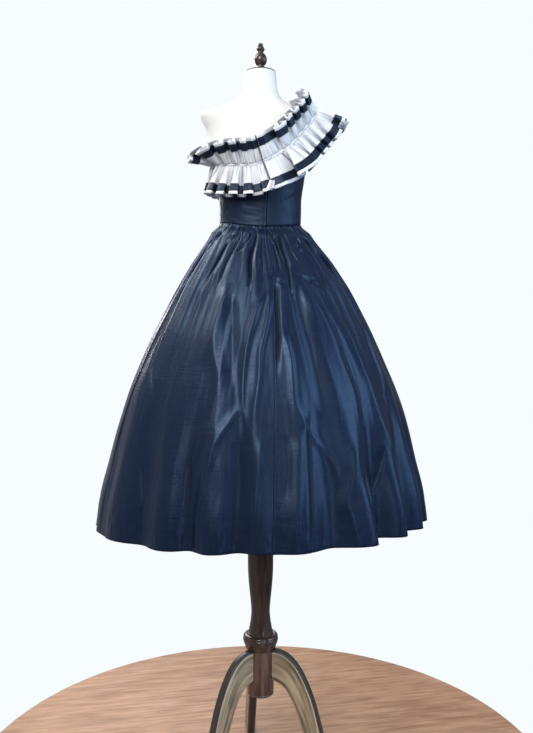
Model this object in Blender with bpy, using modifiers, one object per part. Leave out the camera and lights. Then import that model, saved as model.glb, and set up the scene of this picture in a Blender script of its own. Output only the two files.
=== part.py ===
"""One-shoulder evening dress on a limbless dress form with a turned stand.

Units are metres, +Z is up and the origin is on the floor under the stand's pole. The dress faces -Y, so its
centre back is at +Y and the wearer's right shoulder, the one that carries the ruffle, is at -X.
Angles round the body run from +X (wearer's left) over +Y (centre back), in degrees.
"""

import math

import bmesh
import bpy
from mathutils import Vector

# Driving sizes
WAIST_HEIGHT = 1.494
WAIST_DIP_BACK = 0.016
HEM_HEIGHT = 0.684
FORM_BASE = 1.270
NECK_TOP = 1.9035
SEAM_GAP = 0.0003
SEAT_GAP = 0.0003

BODICE_ROWS = 14
BODICE_BACK_LEFT_ROWS = 8
BODICE_FRONT_COLUMNS = 18
BODICE_BACK_COLUMNS = 7
EDGE_BREAK = 0.30
SIDE_SEAM_SHIFT = 0.55
BODICE_CLEAR = 0.0034
STRAP_LIFT = 0.0045
STRAP_START = 1.748
STRAP_RISE = 0.030
BODICE_WALL = 0.0018
SKIRT_WALL = 0.0018
SKIRT_DEPTH_RATIO = 0.773
GATHERS = 36
COLUMNS_PER_GATHER = 4
SEAM_LEFT_GATHER = 1
CENTRE_BACK_GATHER = 9
SEAM_RIGHT_GATHER = 17
CENTRE_BACK_DRIFT = -6.1

RUFFLE_WALL = 0.0012
RUFFLE_BELOW_EDGE = 0.004
UPPER_FRILL = 0.070
LOWER_FRILL = 0.083
BAND_WIDTH = 0.021
BAND_MARGIN = 0.009
BAND_WALL = 0.0010
RUFFLE_OVERLAP = 0.014
RUFFLE_OVER_LIFT = 0.0060
RUFFLE_CLEAR = 0.0005
RUFFLE_SHOULDER_EASE = 0.0045
RUFFLE_SHOULDER_START = 1.715

FORM_COLUMNS = 28
CAP_HEIGHT = 0.0034
POLE_TOP = FORM_BASE - SEAT_GAP
HUB_TOP = 0.327
HUB_BOTTOM = 0.196
HUB_RADIUS = 0.0364
LEG_THICKNESS = 0.025
LEG_BEVEL = 0.002
LEG_ANGLES = {"leg_front": -90.0, "leg_back_left": 30.0, "leg_back_right": 150.0}

# Centre-back zip
ZIP_TAPE_HALF_WIDTH = 0.006
ZIP_TAPE_WALL = 0.0009
ZIP_TAPE_CLEAR = 0.0006
SLIDER_HEIGHT = 1.6225
SLIDER_CLEAR = 0.0006
SLIDER_SIZE = (0.0056, 0.0020, 0.0090)
EAR_PLACE = 0.00245
EAR_THICKNESS = 0.0007
EAR_HEIGHT = 0.0022
EAR_PAST_PIN = 0.0010
PIN_LENGTH = 0.0050
PIN_CLEAR = 0.0004
PIN_RADIUS = 0.0005
PULL_BORE = 0.0008
PULL_EYE = 0.0015
PULL_WIDTH = 0.0036
PULL_LENGTH = 0.0200
PULL_THICKNESS = 0.0010

# Dress form: height, half width, depth behind, depth in front
FORM_ROWS = (
    (1.270, 0.134, 0.108, 0.104),
    (1.330, 0.146, 0.114, 0.108),
    (1.400, 0.141, 0.108, 0.103),
    (1.450, 0.120, 0.091, 0.089),
    (1.494, 0.106, 0.081, 0.081),
    (1.555, 0.107, 0.085, 0.098),
    (1.605, 0.113, 0.091, 0.117),
    (1.655, 0.122, 0.097, 0.126),
    (1.705, 0.134, 0.100, 0.115),
    (1.742, 0.146, 0.095, 0.096),
    (1.768, 0.160, 0.086, 0.079),
    (1.781, 0.165, 0.080, 0.070),
    (1.790, 0.153, 0.074, 0.063),
    (1.801, 0.124, 0.066, 0.057),
    (1.815, 0.0900, 0.058, 0.053),
    (1.832, 0.0610, 0.051, 0.049),
    (1.854, 0.0480, 0.046, 0.046),
    (1.878, 0.0440, 0.0435, 0.0435),
    (1.9035, 0.0420, 0.0420, 0.0420),
)

# Skirt: share of the way down, half width of the bell there, how far its middle lies to the wearer's right
BELL_ROWS = (
    (0.000, 0.1100, 0.0000),
    (0.017, 0.1250, 0.0010),
    (0.052, 0.1425, 0.0025),
    (0.128, 0.1873, 0.0070),
    (0.209, 0.2288, 0.0092),
    (0.291, 0.2648, 0.0102),
    (0.375, 0.3009, 0.0105),
    (0.458, 0.3313, 0.0105),
    (0.544, 0.3601, 0.0105),
    (0.635, 0.3837, 0.0105),
    (0.715, 0.4007, 0.0103),
    (0.800, 0.4165, 0.0102),
    (0.900, 0.4356, 0.0101),
    (1.000, 0.4462, 0.0100),
)

# The skirt's rows of points as shares of the way down; the zip ends on the fifth
SKIRT_ROWS = (0.0, 0.018, 0.052, 0.105, 0.172, 0.280, 0.420, 0.580, 0.780, 1.0)
ZIP_ROWS = SKIRT_ROWS[1:5]

# How deep the gathers are on the way down: share of the way down, depth
GATHER_ROWS = (
    (0.000, 0.0012),
    (0.020, 0.0030),
    (0.060, 0.0050),
    (0.130, 0.0058),
    (0.250, 0.0046),
    (0.400, 0.0026),
    (0.600, 0.0010),
    (1.000, 0.0000),
)

# Skirt folds: angle at the hem, angle where the fold starts, share of the way down where it starts,
# height of the ridge at the hem (a trough is negative), half width in degrees
FOLD_ROWS = (
    (8.0, 9.0, 0.30, 0.008, 6.0),
    (22.0, 25.0, 0.25, 0.010, 7.0),
    (38.0, 36.0, 0.40, -0.015, 5.5),
    (49.0, 47.0, 0.30, 0.010, 6.0),
    (57.5, 55.0, 0.50, -0.020, 4.0),
    (65.0, 62.0, 0.35, 0.014, 5.0),
    (74.0, 71.0, 0.12, -0.018, 4.5),
    (80.0, 78.0, 0.30, 0.012, 4.0),
    (92.0, 94.0, 0.35, 0.014, 5.0),
    (104.0, 102.0, 0.42, -0.022, 5.0),
    (117.0, 110.0, 0.30, 0.022, 6.0),
    (126.0, 124.0, 0.50, -0.046, 4.5),
    (134.0, 131.0, 0.30, 0.014, 5.0),
    (142.0, 140.0, 0.45, -0.026, 4.0),
    (149.0, 147.0, 0.30, 0.014, 5.0),
    (156.5, 155.0, 0.45, -0.028, 4.0),
    (165.0, 165.0, 0.30, 0.012, 5.0),
    (178.0, 176.0, 0.45, -0.018, 5.0),
    (190.0, 188.0, 0.30, 0.012, 6.0),
    (201.0, 200.0, 0.45, -0.024, 4.5),
    (213.0, 211.0, 0.30, 0.015, 6.0),
    (224.0, 222.0, 0.35, -0.028, 4.5),
    (236.0, 236.0, 0.30, 0.016, 6.0),
    (248.0, 250.0, 0.45, -0.022, 5.0),
    (259.0, 260.0, 0.30, 0.014, 6.0),
    (270.0, 271.0, 0.40, -0.026, 5.0),
    (282.0, 281.0, 0.30, 0.015, 6.0),
    (293.0, 292.0, 0.35, -0.024, 4.5),
    (305.0, 303.0, 0.30, 0.014, 6.0),
    (317.0, 317.0, 0.45, -0.020, 5.0),
    (329.0, 328.0, 0.30, 0.012, 6.0),
    (342.0, 342.0, 0.40, -0.018, 5.0),
    (354.0, 354.0, 0.30, 0.010, 6.0),
)

# Neckline, from the centre back over the right shoulder and round the front to the left underarm:
# angle, height, lean of the lower frill off the body, lean of the upper frill off the body
NECKLINE_ROWS = (
    (90.0, 1.652, 22.0, 20.0),
    (108.0, 1.679, 21.0, 18.0),
    (121.0, 1.707, 20.0, 16.0),
    (133.0, 1.750, 16.0, 16.0),
    (142.0, 1.7835, 10.0, 15.0),
    (156.0, 1.7890, 4.0, 14.0),
    (180.0, 1.7900, 2.0, 14.0),
    (204.0, 1.7890, 4.0, 15.0),
    (218.0, 1.7835, 8.0, 16.0),
    (227.0, 1.750, 10.0, 16.0),
    (239.0, 1.711, 8.0, 10.0),
    (253.0, 1.690, 6.0, 8.0),
    (270.0, 1.676, 5.0, 8.0),
    (295.0, 1.668, 4.0, 10.0),
    (325.0, 1.664, 4.0, 26.0),
    (345.0, 1.663, 10.0, 54.0),
    (362.0, 1.660, 20.0, 72.0),
    (378.0, 1.653, 22.0, 58.0),
    (400.0, 1.643, 20.0, 34.0),
    (430.0, 1.638, 21.0, 22.0),
    (450.0, 1.652, 22.0, 20.0),
)
SHOULDER_STATION = 6
UNDERARM_STATION = 16

# Right armhole, up the back and down the front: angle, height
ARMHOLE_BACK_ROWS = ((170.0, 1.645), (163.0, 1.665), (156.0, 1.701), (154.0, 1.736), (158.0, 1.763),
                     (167.0, 1.776), (180.0, 1.7795))
ARMHOLE_FRONT_ROWS = ((170.0, 1.645), (190.0, 1.658), (203.0, 1.688), (208.0, 1.726), (204.0, 1.760),
                      (195.0, 1.775), (180.0, 1.7795))

# Ruffle waves from the centre back round to it again: share of the length, height of the wave
RUFFLE_WAVES = (
    (2.6, 0.20), (1.2, 0.70), (0.8, 1.00), (1.0, 1.10), (0.9, 0.90), (0.8, 1.00), (1.1, 1.15), (0.9, 0.95),
    (1.3, 0.80), (1.0, 1.00), (0.8, 1.10), (1.1, 0.90), (0.9, 1.05), (1.0, 1.00), (1.2, 0.85), (0.9, 1.10),
    (1.1, 0.95), (0.8, 1.00), (1.0, 1.10), (1.0, 0.90), (1.2, 1.05), (0.9, 1.00), (1.3, 0.95), (0.9, 1.10),
    (0.9, 0.90), (0.8, 1.00), (1.0, 0.85), (0.8, 0.40),
)
COLUMNS_PER_WAVE = 5
WAVE_AT_STITCHING = 0.0012
WAVE_AT_LOWER_EDGE = 0.0088
WAVE_AT_UPPER_EDGE = 0.0072
WAVE_OVERHANG = 0.07

# Leg outline from the hub over the back of the arch to the foot, then up the inside: radius, height
LEG_OUTER_ROWS = ((0.030, 0.3255), (0.056, 0.3245), (0.082, 0.3140), (0.104, 0.2950), (0.123, 0.2680),
                  (0.138, 0.2390), (0.153, 0.2030), (0.167, 0.1580), (0.181, 0.1050), (0.207, 0.0000))
LEG_INNER_ROWS = ((0.157, 0.0000), (0.131, 0.0950), (0.120, 0.1290), (0.107, 0.1650), (0.092, 0.1970),
                  (0.075, 0.2230), (0.056, 0.2360), (0.030, 0.2440))


def steps_between(start, end, count):
    """Evenly spaced values from start to end, both included."""
    return [start + (end - start) * index / count for index in range(count + 1)]


def smooth_table(rows, value, column):
    """Reads a column of a table at a value of its first column, along a smooth curve that doesn't overshoot."""
    last = len(rows) - 1
    if value <= rows[0][0]:
        return rows[0][column]
    if value >= rows[last][0]:
        return rows[last][column]
    index = next(i for i in range(last) if value <= rows[i + 1][0])

    def slope(i):
        return (rows[i + 1][column] - rows[i][column]) / (rows[i + 1][0] - rows[i][0])

    def tangent(i):
        if i == 0:
            return slope(0)
        if i == last:
            return slope(last - 1)
        before, after = slope(i - 1), slope(i)
        if before * after <= 0:
            return 0.0
        return 2 * before * after / (before + after)

    span = rows[index + 1][0] - rows[index][0]
    share = (value - rows[index][0]) / span
    square, cube = share ** 2, share ** 3
    return ((2 * cube - 3 * square + 1) * rows[index][column]
            + (cube - 2 * square + share) * span * tangent(index)
            + (3 * square - 2 * cube) * rows[index + 1][column]
            + (cube - square) * span * tangent(index + 1))


def curve_through(rows, place):
    """The point of a smooth curve through a table's rows, at a place counted in rows."""
    last = len(rows) - 1
    index = min(max(int(math.floor(place)), 0), last - 1)
    share = place - index
    a = rows[max(index - 1, 0)]
    b = rows[index]
    c = rows[index + 1]
    d = rows[min(index + 2, last)]
    return [0.5 * (2 * q + (r - p) * share + (2 * p - 5 * q + 4 * r - s) * share ** 2
                   + (3 * q - p - 3 * r + s) * share ** 3) for p, q, r, s in zip(a, b, c, d)]


def smooth_step(value):
    """0 below 0, 1 above 1 and a smooth rise between."""
    value = min(max(value, 0.0), 1.0)
    return value * value * (3 - 2 * value)


def form_point(angle, height):
    """A point of the dress form's surface."""
    turn = math.radians(angle)
    width = smooth_table(FORM_ROWS, height, 1)
    depth = smooth_table(FORM_ROWS, height, 2 if math.sin(turn) > 0 else 3)
    return Vector((width * math.cos(turn), depth * math.sin(turn), height))


def form_normal(angle, height):
    """The outward normal of the dress form there."""
    across = form_point(angle + 0.5, height) - form_point(angle - 0.5, height)
    upward = form_point(angle, height + 0.0015) - form_point(angle, height - 0.0015)
    return across.cross(upward).normalized()


def bodice_clearance(height):
    """How far the bodice's inside lies off the form: a little more on the strap over the shoulder."""
    return BODICE_CLEAR + STRAP_LIFT * smooth_step((height - STRAP_START) / STRAP_RISE)


def waist_height(angle):
    """Height of the waist seam, which dips at the centre back."""
    return WAIST_HEIGHT - WAIST_DIP_BACK * max(0.0, math.sin(math.radians(angle))) ** 2


def gather_angle(gather):
    """Angle of a gather at the waist; the gathers are unevenly spaced but for the four quarter lines."""
    turn = 2 * math.pi * gather / 9
    uneven = 1.7 * math.sin(turn) + 1.2 * math.sin(2 * turn) * math.cos(5 * turn / 4)
    return 360.0 * gather / GATHERS + uneven


def skirt_point(gather, down):
    """A point of the skirt's inner surface, by gather round the waist and share of the way to the hem."""
    waist_angle = gather_angle(gather)
    facing_back = max(0.0, math.sin(math.radians(waist_angle)))
    angle = waist_angle + CENTRE_BACK_DRIFT * facing_back ** 2 * down ** 0.55
    bell = smooth_table(BELL_ROWS, down, 1) - SKIRT_WALL
    zip_calm = 1 - 0.8 * math.exp(-((gather - CENTRE_BACK_GATHER) / 0.9) ** 2) * (1 - smooth_step(down / 0.4))
    round_waist = 2 * math.pi * gather / GATHERS
    uneven = 1 + 0.35 * math.sin(5 * round_waist + 0.6) + 0.25 * math.sin(13 * round_waist + 2.0)
    gather_depth = smooth_table(GATHER_ROWS, down, 1) * uneven * zip_calm
    swell = gather_depth * (1 + math.cos(2 * math.pi * gather))
    for hem_angle, start_angle, start, ridge, half_width in FOLD_ROWS:
        grown = smooth_step((down - start) / (1 - start))
        if grown <= 0:
            continue
        centre = start_angle + (hem_angle - start_angle) * (down - start) / (1 - start)
        away = (angle - centre + 180.0) % 360.0 - 180.0
        swell += ridge * grown * math.exp(-(away / half_width) ** 2)
    turn = math.radians(angle)
    top = waist_height(waist_angle)
    height = top + (HEM_HEIGHT - top) * down
    fitted = 1 - smooth_step(down / 0.03)
    form_depth = smooth_table(FORM_ROWS, height, 2 if math.sin(turn) > 0 else 3)
    width = bell + (smooth_table(FORM_ROWS, height, 1) + BODICE_CLEAR - bell) * fitted
    depth = SKIRT_DEPTH_RATIO * bell + (form_depth + BODICE_CLEAR - SKIRT_DEPTH_RATIO * bell) * fitted
    aside = smooth_table(BELL_ROWS, down, 2)
    return Vector(((width + swell) * math.cos(turn) - aside, (depth + SKIRT_DEPTH_RATIO * swell) * math.sin(turn),
                   height))


def skirt_normal(gather, down):
    """The outward normal of the skirt there, kept level at the waist seam."""
    across = skirt_point(gather + 0.04, down) - skirt_point(gather - 0.04, down)
    upward = skirt_point(gather, max(down - 0.004, 0.0)) - skirt_point(gather, min(down + 0.004, 1.0))
    normal = across.cross(upward)
    normal.z *= smooth_step(down / 0.02)
    return normal.normalized()


def neckline_at(place):
    """Angle, height and the two frills' leans on the neckline, at a place counted in its table's rows."""
    return curve_through(NECKLINE_ROWS, place)


class RuffleLine:
    """The line that the ruffle is stitched on, just below the bodice's top edge, by distance along it."""

    SAMPLES_PER_ROW = 24

    def __init__(self):
        count = (len(NECKLINE_ROWS) - 1) * self.SAMPLES_PER_ROW
        places = steps_between(0, len(NECKLINE_ROWS) - 1, count)
        edge, normals, self.leans = [], [], []
        for place in places:
            angle, height, lower_lean, upper_lean = neckline_at(place)
            edge.append(form_point(angle, height))
            normals.append(form_normal(angle, height))
            self.leans.append((lower_lean, upper_lean))
        self.normals = self.smoothed(normals, 14)
        self.downs = []
        for index in range(count + 1):
            ahead = edge[(index + 3) % count]
            behind = edge[(index - 3) % count]
            self.downs.append((ahead - behind).cross(self.normals[index]).normalized())
        self.downs = self.smoothed(self.downs, 40)
        self.points = [p + d * RUFFLE_BELOW_EDGE for p, d in zip(edge, self.downs)]
        self.distances = [0.0]
        for index in range(count):
            self.distances.append(self.distances[-1] + (self.points[index + 1] - self.points[index]).length)
        self.length = self.distances[-1]

    @staticmethod
    def smoothed(vectors, reach):
        """Each vector of a closed ring averaged with its neighbours up to reach samples away."""
        count = len(vectors) - 1
        ring = []
        for index in range(count):
            total = Vector((0, 0, 0))
            for step in range(-reach, reach + 1):
                total += vectors[(index + step) % count] * (reach + 1 - abs(step))
            ring.append(total.normalized())
        return ring + [ring[0]]

    def at(self, distance):
        """Point, outward direction, downward direction and the two leans at a distance."""
        distance = distance % self.length
        low, high = 0, len(self.distances) - 1
        while high - low > 1:
            middle = (low + high) // 2
            if self.distances[middle] <= distance:
                low = middle
            else:
                high = middle
        share = (distance - self.distances[low]) / (self.distances[high] - self.distances[low])
        point = self.points[low].lerp(self.points[high], share)
        normal = self.normals[low].lerp(self.normals[high], share).normalized()
        down = self.downs[low].lerp(self.downs[high], share)
        down = (down - normal * down.dot(normal)).normalized()
        leans = [a + (b - a) * share for a, b in zip(self.leans[low], self.leans[high])]
        return point, normal, down, leans


RUFFLE_LINE = RuffleLine()


def wave_stations():
    """Start of each ruffle wave as a share of the ruffle's length, with a last entry for its end."""
    total = sum(width for width, height in RUFFLE_WAVES)
    starts = [0.0]
    for width, height in RUFFLE_WAVES:
        starts.append(starts[-1] + width / total)
    return starts


WAVE_STARTS = wave_stations()


def ruffle_point(wave, reach):
    """A point of the ruffle's inner surface: wave counted along it, reach below (or above, negative) the stitching."""
    count = len(RUFFLE_WAVES)
    index = min(max(int(math.floor(wave)), 0), count - 1)
    share = wave - index
    span = WAVE_STARTS[index + 1] - WAVE_STARTS[index]
    height = RUFFLE_WAVES[index][1]
    follower = RUFFLE_WAVES[min(index + 1, count - 1)][1]
    height += (follower - height) * smooth_step(share)
    end_calm = smooth_step(wave / 0.8) * smooth_step((count - wave) / 1.3)
    height *= end_calm
    edge = UPPER_FRILL if reach < 0 else LOWER_FRILL
    edge_wave = WAVE_AT_UPPER_EDGE if reach < 0 else WAVE_AT_LOWER_EDGE
    grown = (abs(reach) / edge) ** 0.8
    swing = (WAVE_AT_STITCHING + (edge_wave - WAVE_AT_STITCHING) * grown) * height
    along = WAVE_STARTS[index] + span * (share + WAVE_OVERHANG * height * grown * math.sin(4 * math.pi * share))
    distance = -RUFFLE_OVERLAP + along * (RUFFLE_LINE.length + RUFFLE_OVERLAP)
    point, normal, down, leans = RUFFLE_LINE.at(distance)
    over = 1 - smooth_step((distance - 0.02) / 0.05)
    clear = bodice_clearance(point.z) + BODICE_WALL + RUFFLE_CLEAR + WAVE_AT_STITCHING * height
    clear += RUFFLE_OVER_LIFT * over + RUFFLE_SHOULDER_EASE * smooth_step((point.z - RUFFLE_SHOULDER_START) / STRAP_RISE)
    lean = math.radians(leans[1] if reach < 0 else leans[0])
    side = -1 if reach < 0 else 1
    runs = down * side * math.cos(lean) + normal * math.sin(lean)
    lifts = normal * math.cos(lean) - down * side * math.sin(lean)
    return point + normal * clear + runs * abs(reach) + lifts * swing * math.cos(2 * math.pi * share)


def ruffle_normal(wave, reach):
    """The outward normal of the ruffle there."""
    ahead = min(wave + 0.02, len(RUFFLE_WAVES) - 1e-6)
    behind = max(wave - 0.02, 0.0)
    along = ruffle_point(ahead, reach) - ruffle_point(behind, reach)
    below = ruffle_point(wave, reach + 0.002) - ruffle_point(wave, reach - 0.002)
    return below.cross(along).normalized()


def new_material(name, colour, roughness, metallic=0.0):
    """A plain Principled material in a part's own colour."""
    material = bpy.data.materials.new(name)
    material.use_nodes = True
    shader = material.node_tree.nodes["Principled BSDF"]
    shader.inputs["Base Color"].default_value = (*colour, 1.0)
    shader.inputs["Roughness"].default_value = roughness
    shader.inputs["Metallic"].default_value = metallic
    return material


def place(name, data, material, collection):
    """A new named object in the dress's collection."""
    item = bpy.data.objects.new(name, data)
    data.materials.append(material)
    collection.objects.link(item)
    return item


def cloth_wall(name, inner, outer, closed, material, collection):
    """One closed wall between an inner and an outer grid of points, both as lists of columns."""
    mesh = bpy.data.meshes.new(name)
    shell = bmesh.new()
    near = [[shell.verts.new(point) for point in column] for column in inner]
    far = [[shell.verts.new(point) for point in column] for column in outer]
    columns, rows = len(near), len(near[0])
    spans = [(i, (i + 1) % columns) for i in range(columns if closed else columns - 1)]

    def quad(a, b, c, d):
        shell.faces.new((a, b, c))
        shell.faces.new((a, c, d))

    for here, ahead in spans:
        for row in range(rows - 1):
            quad(far[here][row], far[here][row + 1], far[ahead][row + 1], far[ahead][row])
            shell.faces.new((near[here][row], near[ahead][row + 1], near[here][row + 1]))
            shell.faces.new((near[here][row], near[ahead][row], near[ahead][row + 1]))
        quad(near[here][0], far[here][0], far[ahead][0], near[ahead][0])
        quad(far[here][-1], near[here][-1], near[ahead][-1], far[ahead][-1])
    if not closed:
        for row in range(rows - 1):
            quad(near[0][row], near[0][row + 1], far[0][row + 1], far[0][row])
            quad(far[-1][row], far[-1][row + 1], near[-1][row + 1], near[-1][row])
    bmesh.ops.recalc_face_normals(shell, faces=shell.faces)
    shell.to_mesh(mesh)
    shell.free()
    mesh.shade_smooth()
    mesh.set_sharp_from_angle(angle=math.radians(50))
    return place(name, mesh, material, collection)


def wall_grids(points, normals, wall, gap_at_ends):
    """Inner and outer grids of a wall, its two end columns drawn in by half a seam gap."""
    if gap_at_ends:
        for end, neighbour in ((0, 1), (-1, -2)):
            points[end] = [p + (q - p).normalized() * SEAM_GAP / 2 for p, q in zip(points[end], points[neighbour])]
    outer = [[p + n * wall for p, n in zip(column, normal)] for column, normal in zip(points, normals)]
    return points, outer


def skirt_panel(name, first_gather, last_gather, material, collection):
    """One panel of the skirt from the waist seam to the hem."""
    gathers = steps_between(first_gather, last_gather, (last_gather - first_gather) * COLUMNS_PER_GATHER)
    points = [[skirt_point(gather, down) for down in SKIRT_ROWS] for gather in gathers]
    for column in points:
        column[0].z -= SEAM_GAP / 2
    normals = [[skirt_normal(gather, down) for down in SKIRT_ROWS] for gather in gathers]
    inner, outer = wall_grids(points, normals, SKIRT_WALL, True)
    return cloth_wall(name, inner, outer, False, material, collection)


def bodice_panel(name, spot, columns, rows, material, collection):
    """One panel of the bodice; spot gives the angle and height for shares across it and up it."""
    points, normals = [], []
    for across in steps_between(0, 1, columns):
        column, column_normals = [], []
        for upward in steps_between(0, 1, rows):
            angle, height = spot(across, upward)
            if upward == 0:
                height = waist_height(angle) + SEAM_GAP / 2
            normal = form_normal(angle, height)
            if upward == 0:
                normal.z = 0
                normal.normalize()
            column.append(form_point(angle, height) + normal * bodice_clearance(height))
            column_normals.append(normal)
        column[-1] += (column[-2] - column[-1]).normalized() * SEAM_GAP / 2
        points.append(column)
        normals.append(column_normals)
    inner, outer = wall_grids(points, normals, BODICE_WALL, True)
    cloth_wall(name, inner, outer, False, material, collection)


def rising_edge(angle, top):
    """The straight part of a bodice edge, from the waist up to a height."""
    def edge(share):
        return angle, waist_height(angle) + (top - waist_height(angle)) * share
    return edge


def two_part_edge(lower, upper):
    """An edge that follows one function as far as the armhole and then another."""
    def edge(upward):
        if upward <= EDGE_BREAK:
            return lower(upward / EDGE_BREAK)
        return upper((upward - EDGE_BREAK) / (1 - EDGE_BREAK))
    return edge


def between_edges(first_edge, last_edge):
    """Angle and height between two edges, each a function from 0 at the waist to 1 at the top."""
    def spot(across, upward):
        first = first_edge(upward)
        last = last_edge(upward)
        return [a + (b - a) * across for a, b in zip(first, last)]
    return spot


def make_bodice(material, collection):
    """The three bodice panels: front, and a left and a right back that meet at the zip."""
    right_seam = gather_angle(SEAM_RIGHT_GATHER)
    side_top = ARMHOLE_BACK_ROWS[0][1]
    left_start = UNDERARM_STATION + SIDE_SEAM_SHIFT

    def back_neckline(share):
        return neckline_at(SHOULDER_STATION * share)[:2]

    def back_armhole(share):
        return curve_through(ARMHOLE_BACK_ROWS, share * (len(ARMHOLE_BACK_ROWS) - 1))

    def front_neckline(share):
        return neckline_at(left_start + (SHOULDER_STATION - left_start) * share)[:2]

    def front_armhole(share):
        return curve_through(ARMHOLE_FRONT_ROWS, share * (len(ARMHOLE_FRONT_ROWS) - 1))

    def under_left_neckline(across, upward):
        angle, top = neckline_at(left_start + (len(NECKLINE_ROWS) - 1 - left_start) * across)[:2]
        return angle, waist_height(angle) + (top - waist_height(angle)) * upward

    centre_back = rising_edge(NECKLINE_ROWS[0][0], NECKLINE_ROWS[0][1])
    right_side = rising_edge(right_seam, side_top)
    left_side = rising_edge(*front_neckline(0))
    back_right = between_edges(two_part_edge(centre_back, back_neckline), two_part_edge(right_side, back_armhole))
    front = between_edges(two_part_edge(right_side, front_armhole), two_part_edge(left_side, front_neckline))
    bodice_panel("bodice_back_right", back_right, BODICE_BACK_COLUMNS, BODICE_ROWS, material, collection)
    bodice_panel("bodice_front", front, BODICE_FRONT_COLUMNS, BODICE_ROWS, material, collection)
    bodice_panel("bodice_back_left", under_left_neckline, BODICE_BACK_COLUMNS, BODICE_BACK_LEFT_ROWS, material,
                 collection)


def make_skirt(material, collection):
    """Front, left back and right back of the gathered skirt."""
    skirt_panel("skirt_back_left", SEAM_LEFT_GATHER, CENTRE_BACK_GATHER, material, collection)
    skirt_panel("skirt_back_right", CENTRE_BACK_GATHER, SEAM_RIGHT_GATHER, material, collection)
    skirt_panel("skirt_front", SEAM_RIGHT_GATHER, SEAM_LEFT_GATHER + GATHERS, material, collection)


def ruffle_reaches():
    """The ruffle's rows: both edges, both edges of each ribbon band, the stitching and a row in each frill."""
    lower_band = (LOWER_FRILL - BAND_MARGIN - BAND_WIDTH, LOWER_FRILL - BAND_MARGIN)
    upper_band = (UPPER_FRILL - BAND_MARGIN - BAND_WIDTH, UPPER_FRILL - BAND_MARGIN)
    return [-UPPER_FRILL, -upper_band[1], -upper_band[0], 0.0, lower_band[0] / 2, lower_band[0], lower_band[1],
            LOWER_FRILL]


def make_ruffle(cloth, ribbon, collection):
    """The double-edged ruffle and the two ribbon bands that lie on it."""
    reaches = ruffle_reaches()
    waves = steps_between(0, len(RUFFLE_WAVES), len(RUFFLE_WAVES) * COLUMNS_PER_WAVE)
    points = [[ruffle_point(wave, reach) for reach in reaches] for wave in waves]
    normals = [[ruffle_normal(wave, reach) for reach in reaches] for wave in waves]
    inner, outer = wall_grids(points, normals, RUFFLE_WALL, False)
    cloth_wall("ruffle", inner, outer, False, cloth, collection)
    for name, first, last in (("ruffle_band_upper", 1, 2), ("ruffle_band_lower", 5, 6)):
        rows = slice(first, last + 1)
        lift = RUFFLE_WALL + SEAM_GAP
        under = [[p + n * lift for p, n in zip(column[rows], normal[rows])]
                 for column, normal in zip(points, normals)]
        band_inner, band_outer = wall_grids(under, [normal[rows] for normal in normals], BAND_WALL, False)
        cloth_wall(name, band_inner, band_outer, False, ribbon, collection)


def make_form(material, collection):
    """The limbless dress form, one closed body with a flat base and a flat neck top."""
    heights = [FORM_BASE, 1.330, 1.400, 1.450, WAIST_HEIGHT, 1.545, 1.600, 1.655, 1.705, 1.742, 1.768, 1.781,
               1.790, 1.801, 1.815, 1.834, 1.860, NECK_TOP]
    mesh = bpy.data.meshes.new("dress_form")
    body = bmesh.new()
    rings = []
    for height in heights:
        rings.append([body.verts.new(form_point(360.0 * i / FORM_COLUMNS, height)) for i in range(FORM_COLUMNS)])
    for low, high in zip(rings, rings[1:]):
        for i in range(FORM_COLUMNS):
            ahead = (i + 1) % FORM_COLUMNS
            body.faces.new((low[i], low[ahead], high[ahead], high[i]))
    body.faces.new(list(reversed(rings[0])))
    body.faces.new(rings[-1])
    bmesh.ops.recalc_face_normals(body, faces=body.faces)
    body.to_mesh(mesh)
    body.free()
    mesh.shade_smooth()
    mesh.set_sharp_from_angle(angle=math.radians(60))
    return place("dress_form", mesh, material, collection)


def turned(name, profile, sides, material, collection):
    """A turned piece: a profile of radius and height, from top to bottom, swept round the Z axis."""
    mesh = bpy.data.meshes.new(name)
    line = bmesh.new()
    points = [line.verts.new((radius, 0.0, height)) for radius, height in profile]
    for a, b in zip(points, points[1:]):
        line.edges.new((a, b))
    line.to_mesh(mesh)
    line.free()
    item = place(name, mesh, material, collection)
    screw = item.modifiers.new("turned", "SCREW")
    screw.axis = "Z"
    screw.angle = math.tau
    screw.steps = sides
    screw.render_steps = sides
    screw.use_merge_vertices = True
    screw.merge_threshold = 0.00001
    screw.use_smooth_shade = True
    return item


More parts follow.
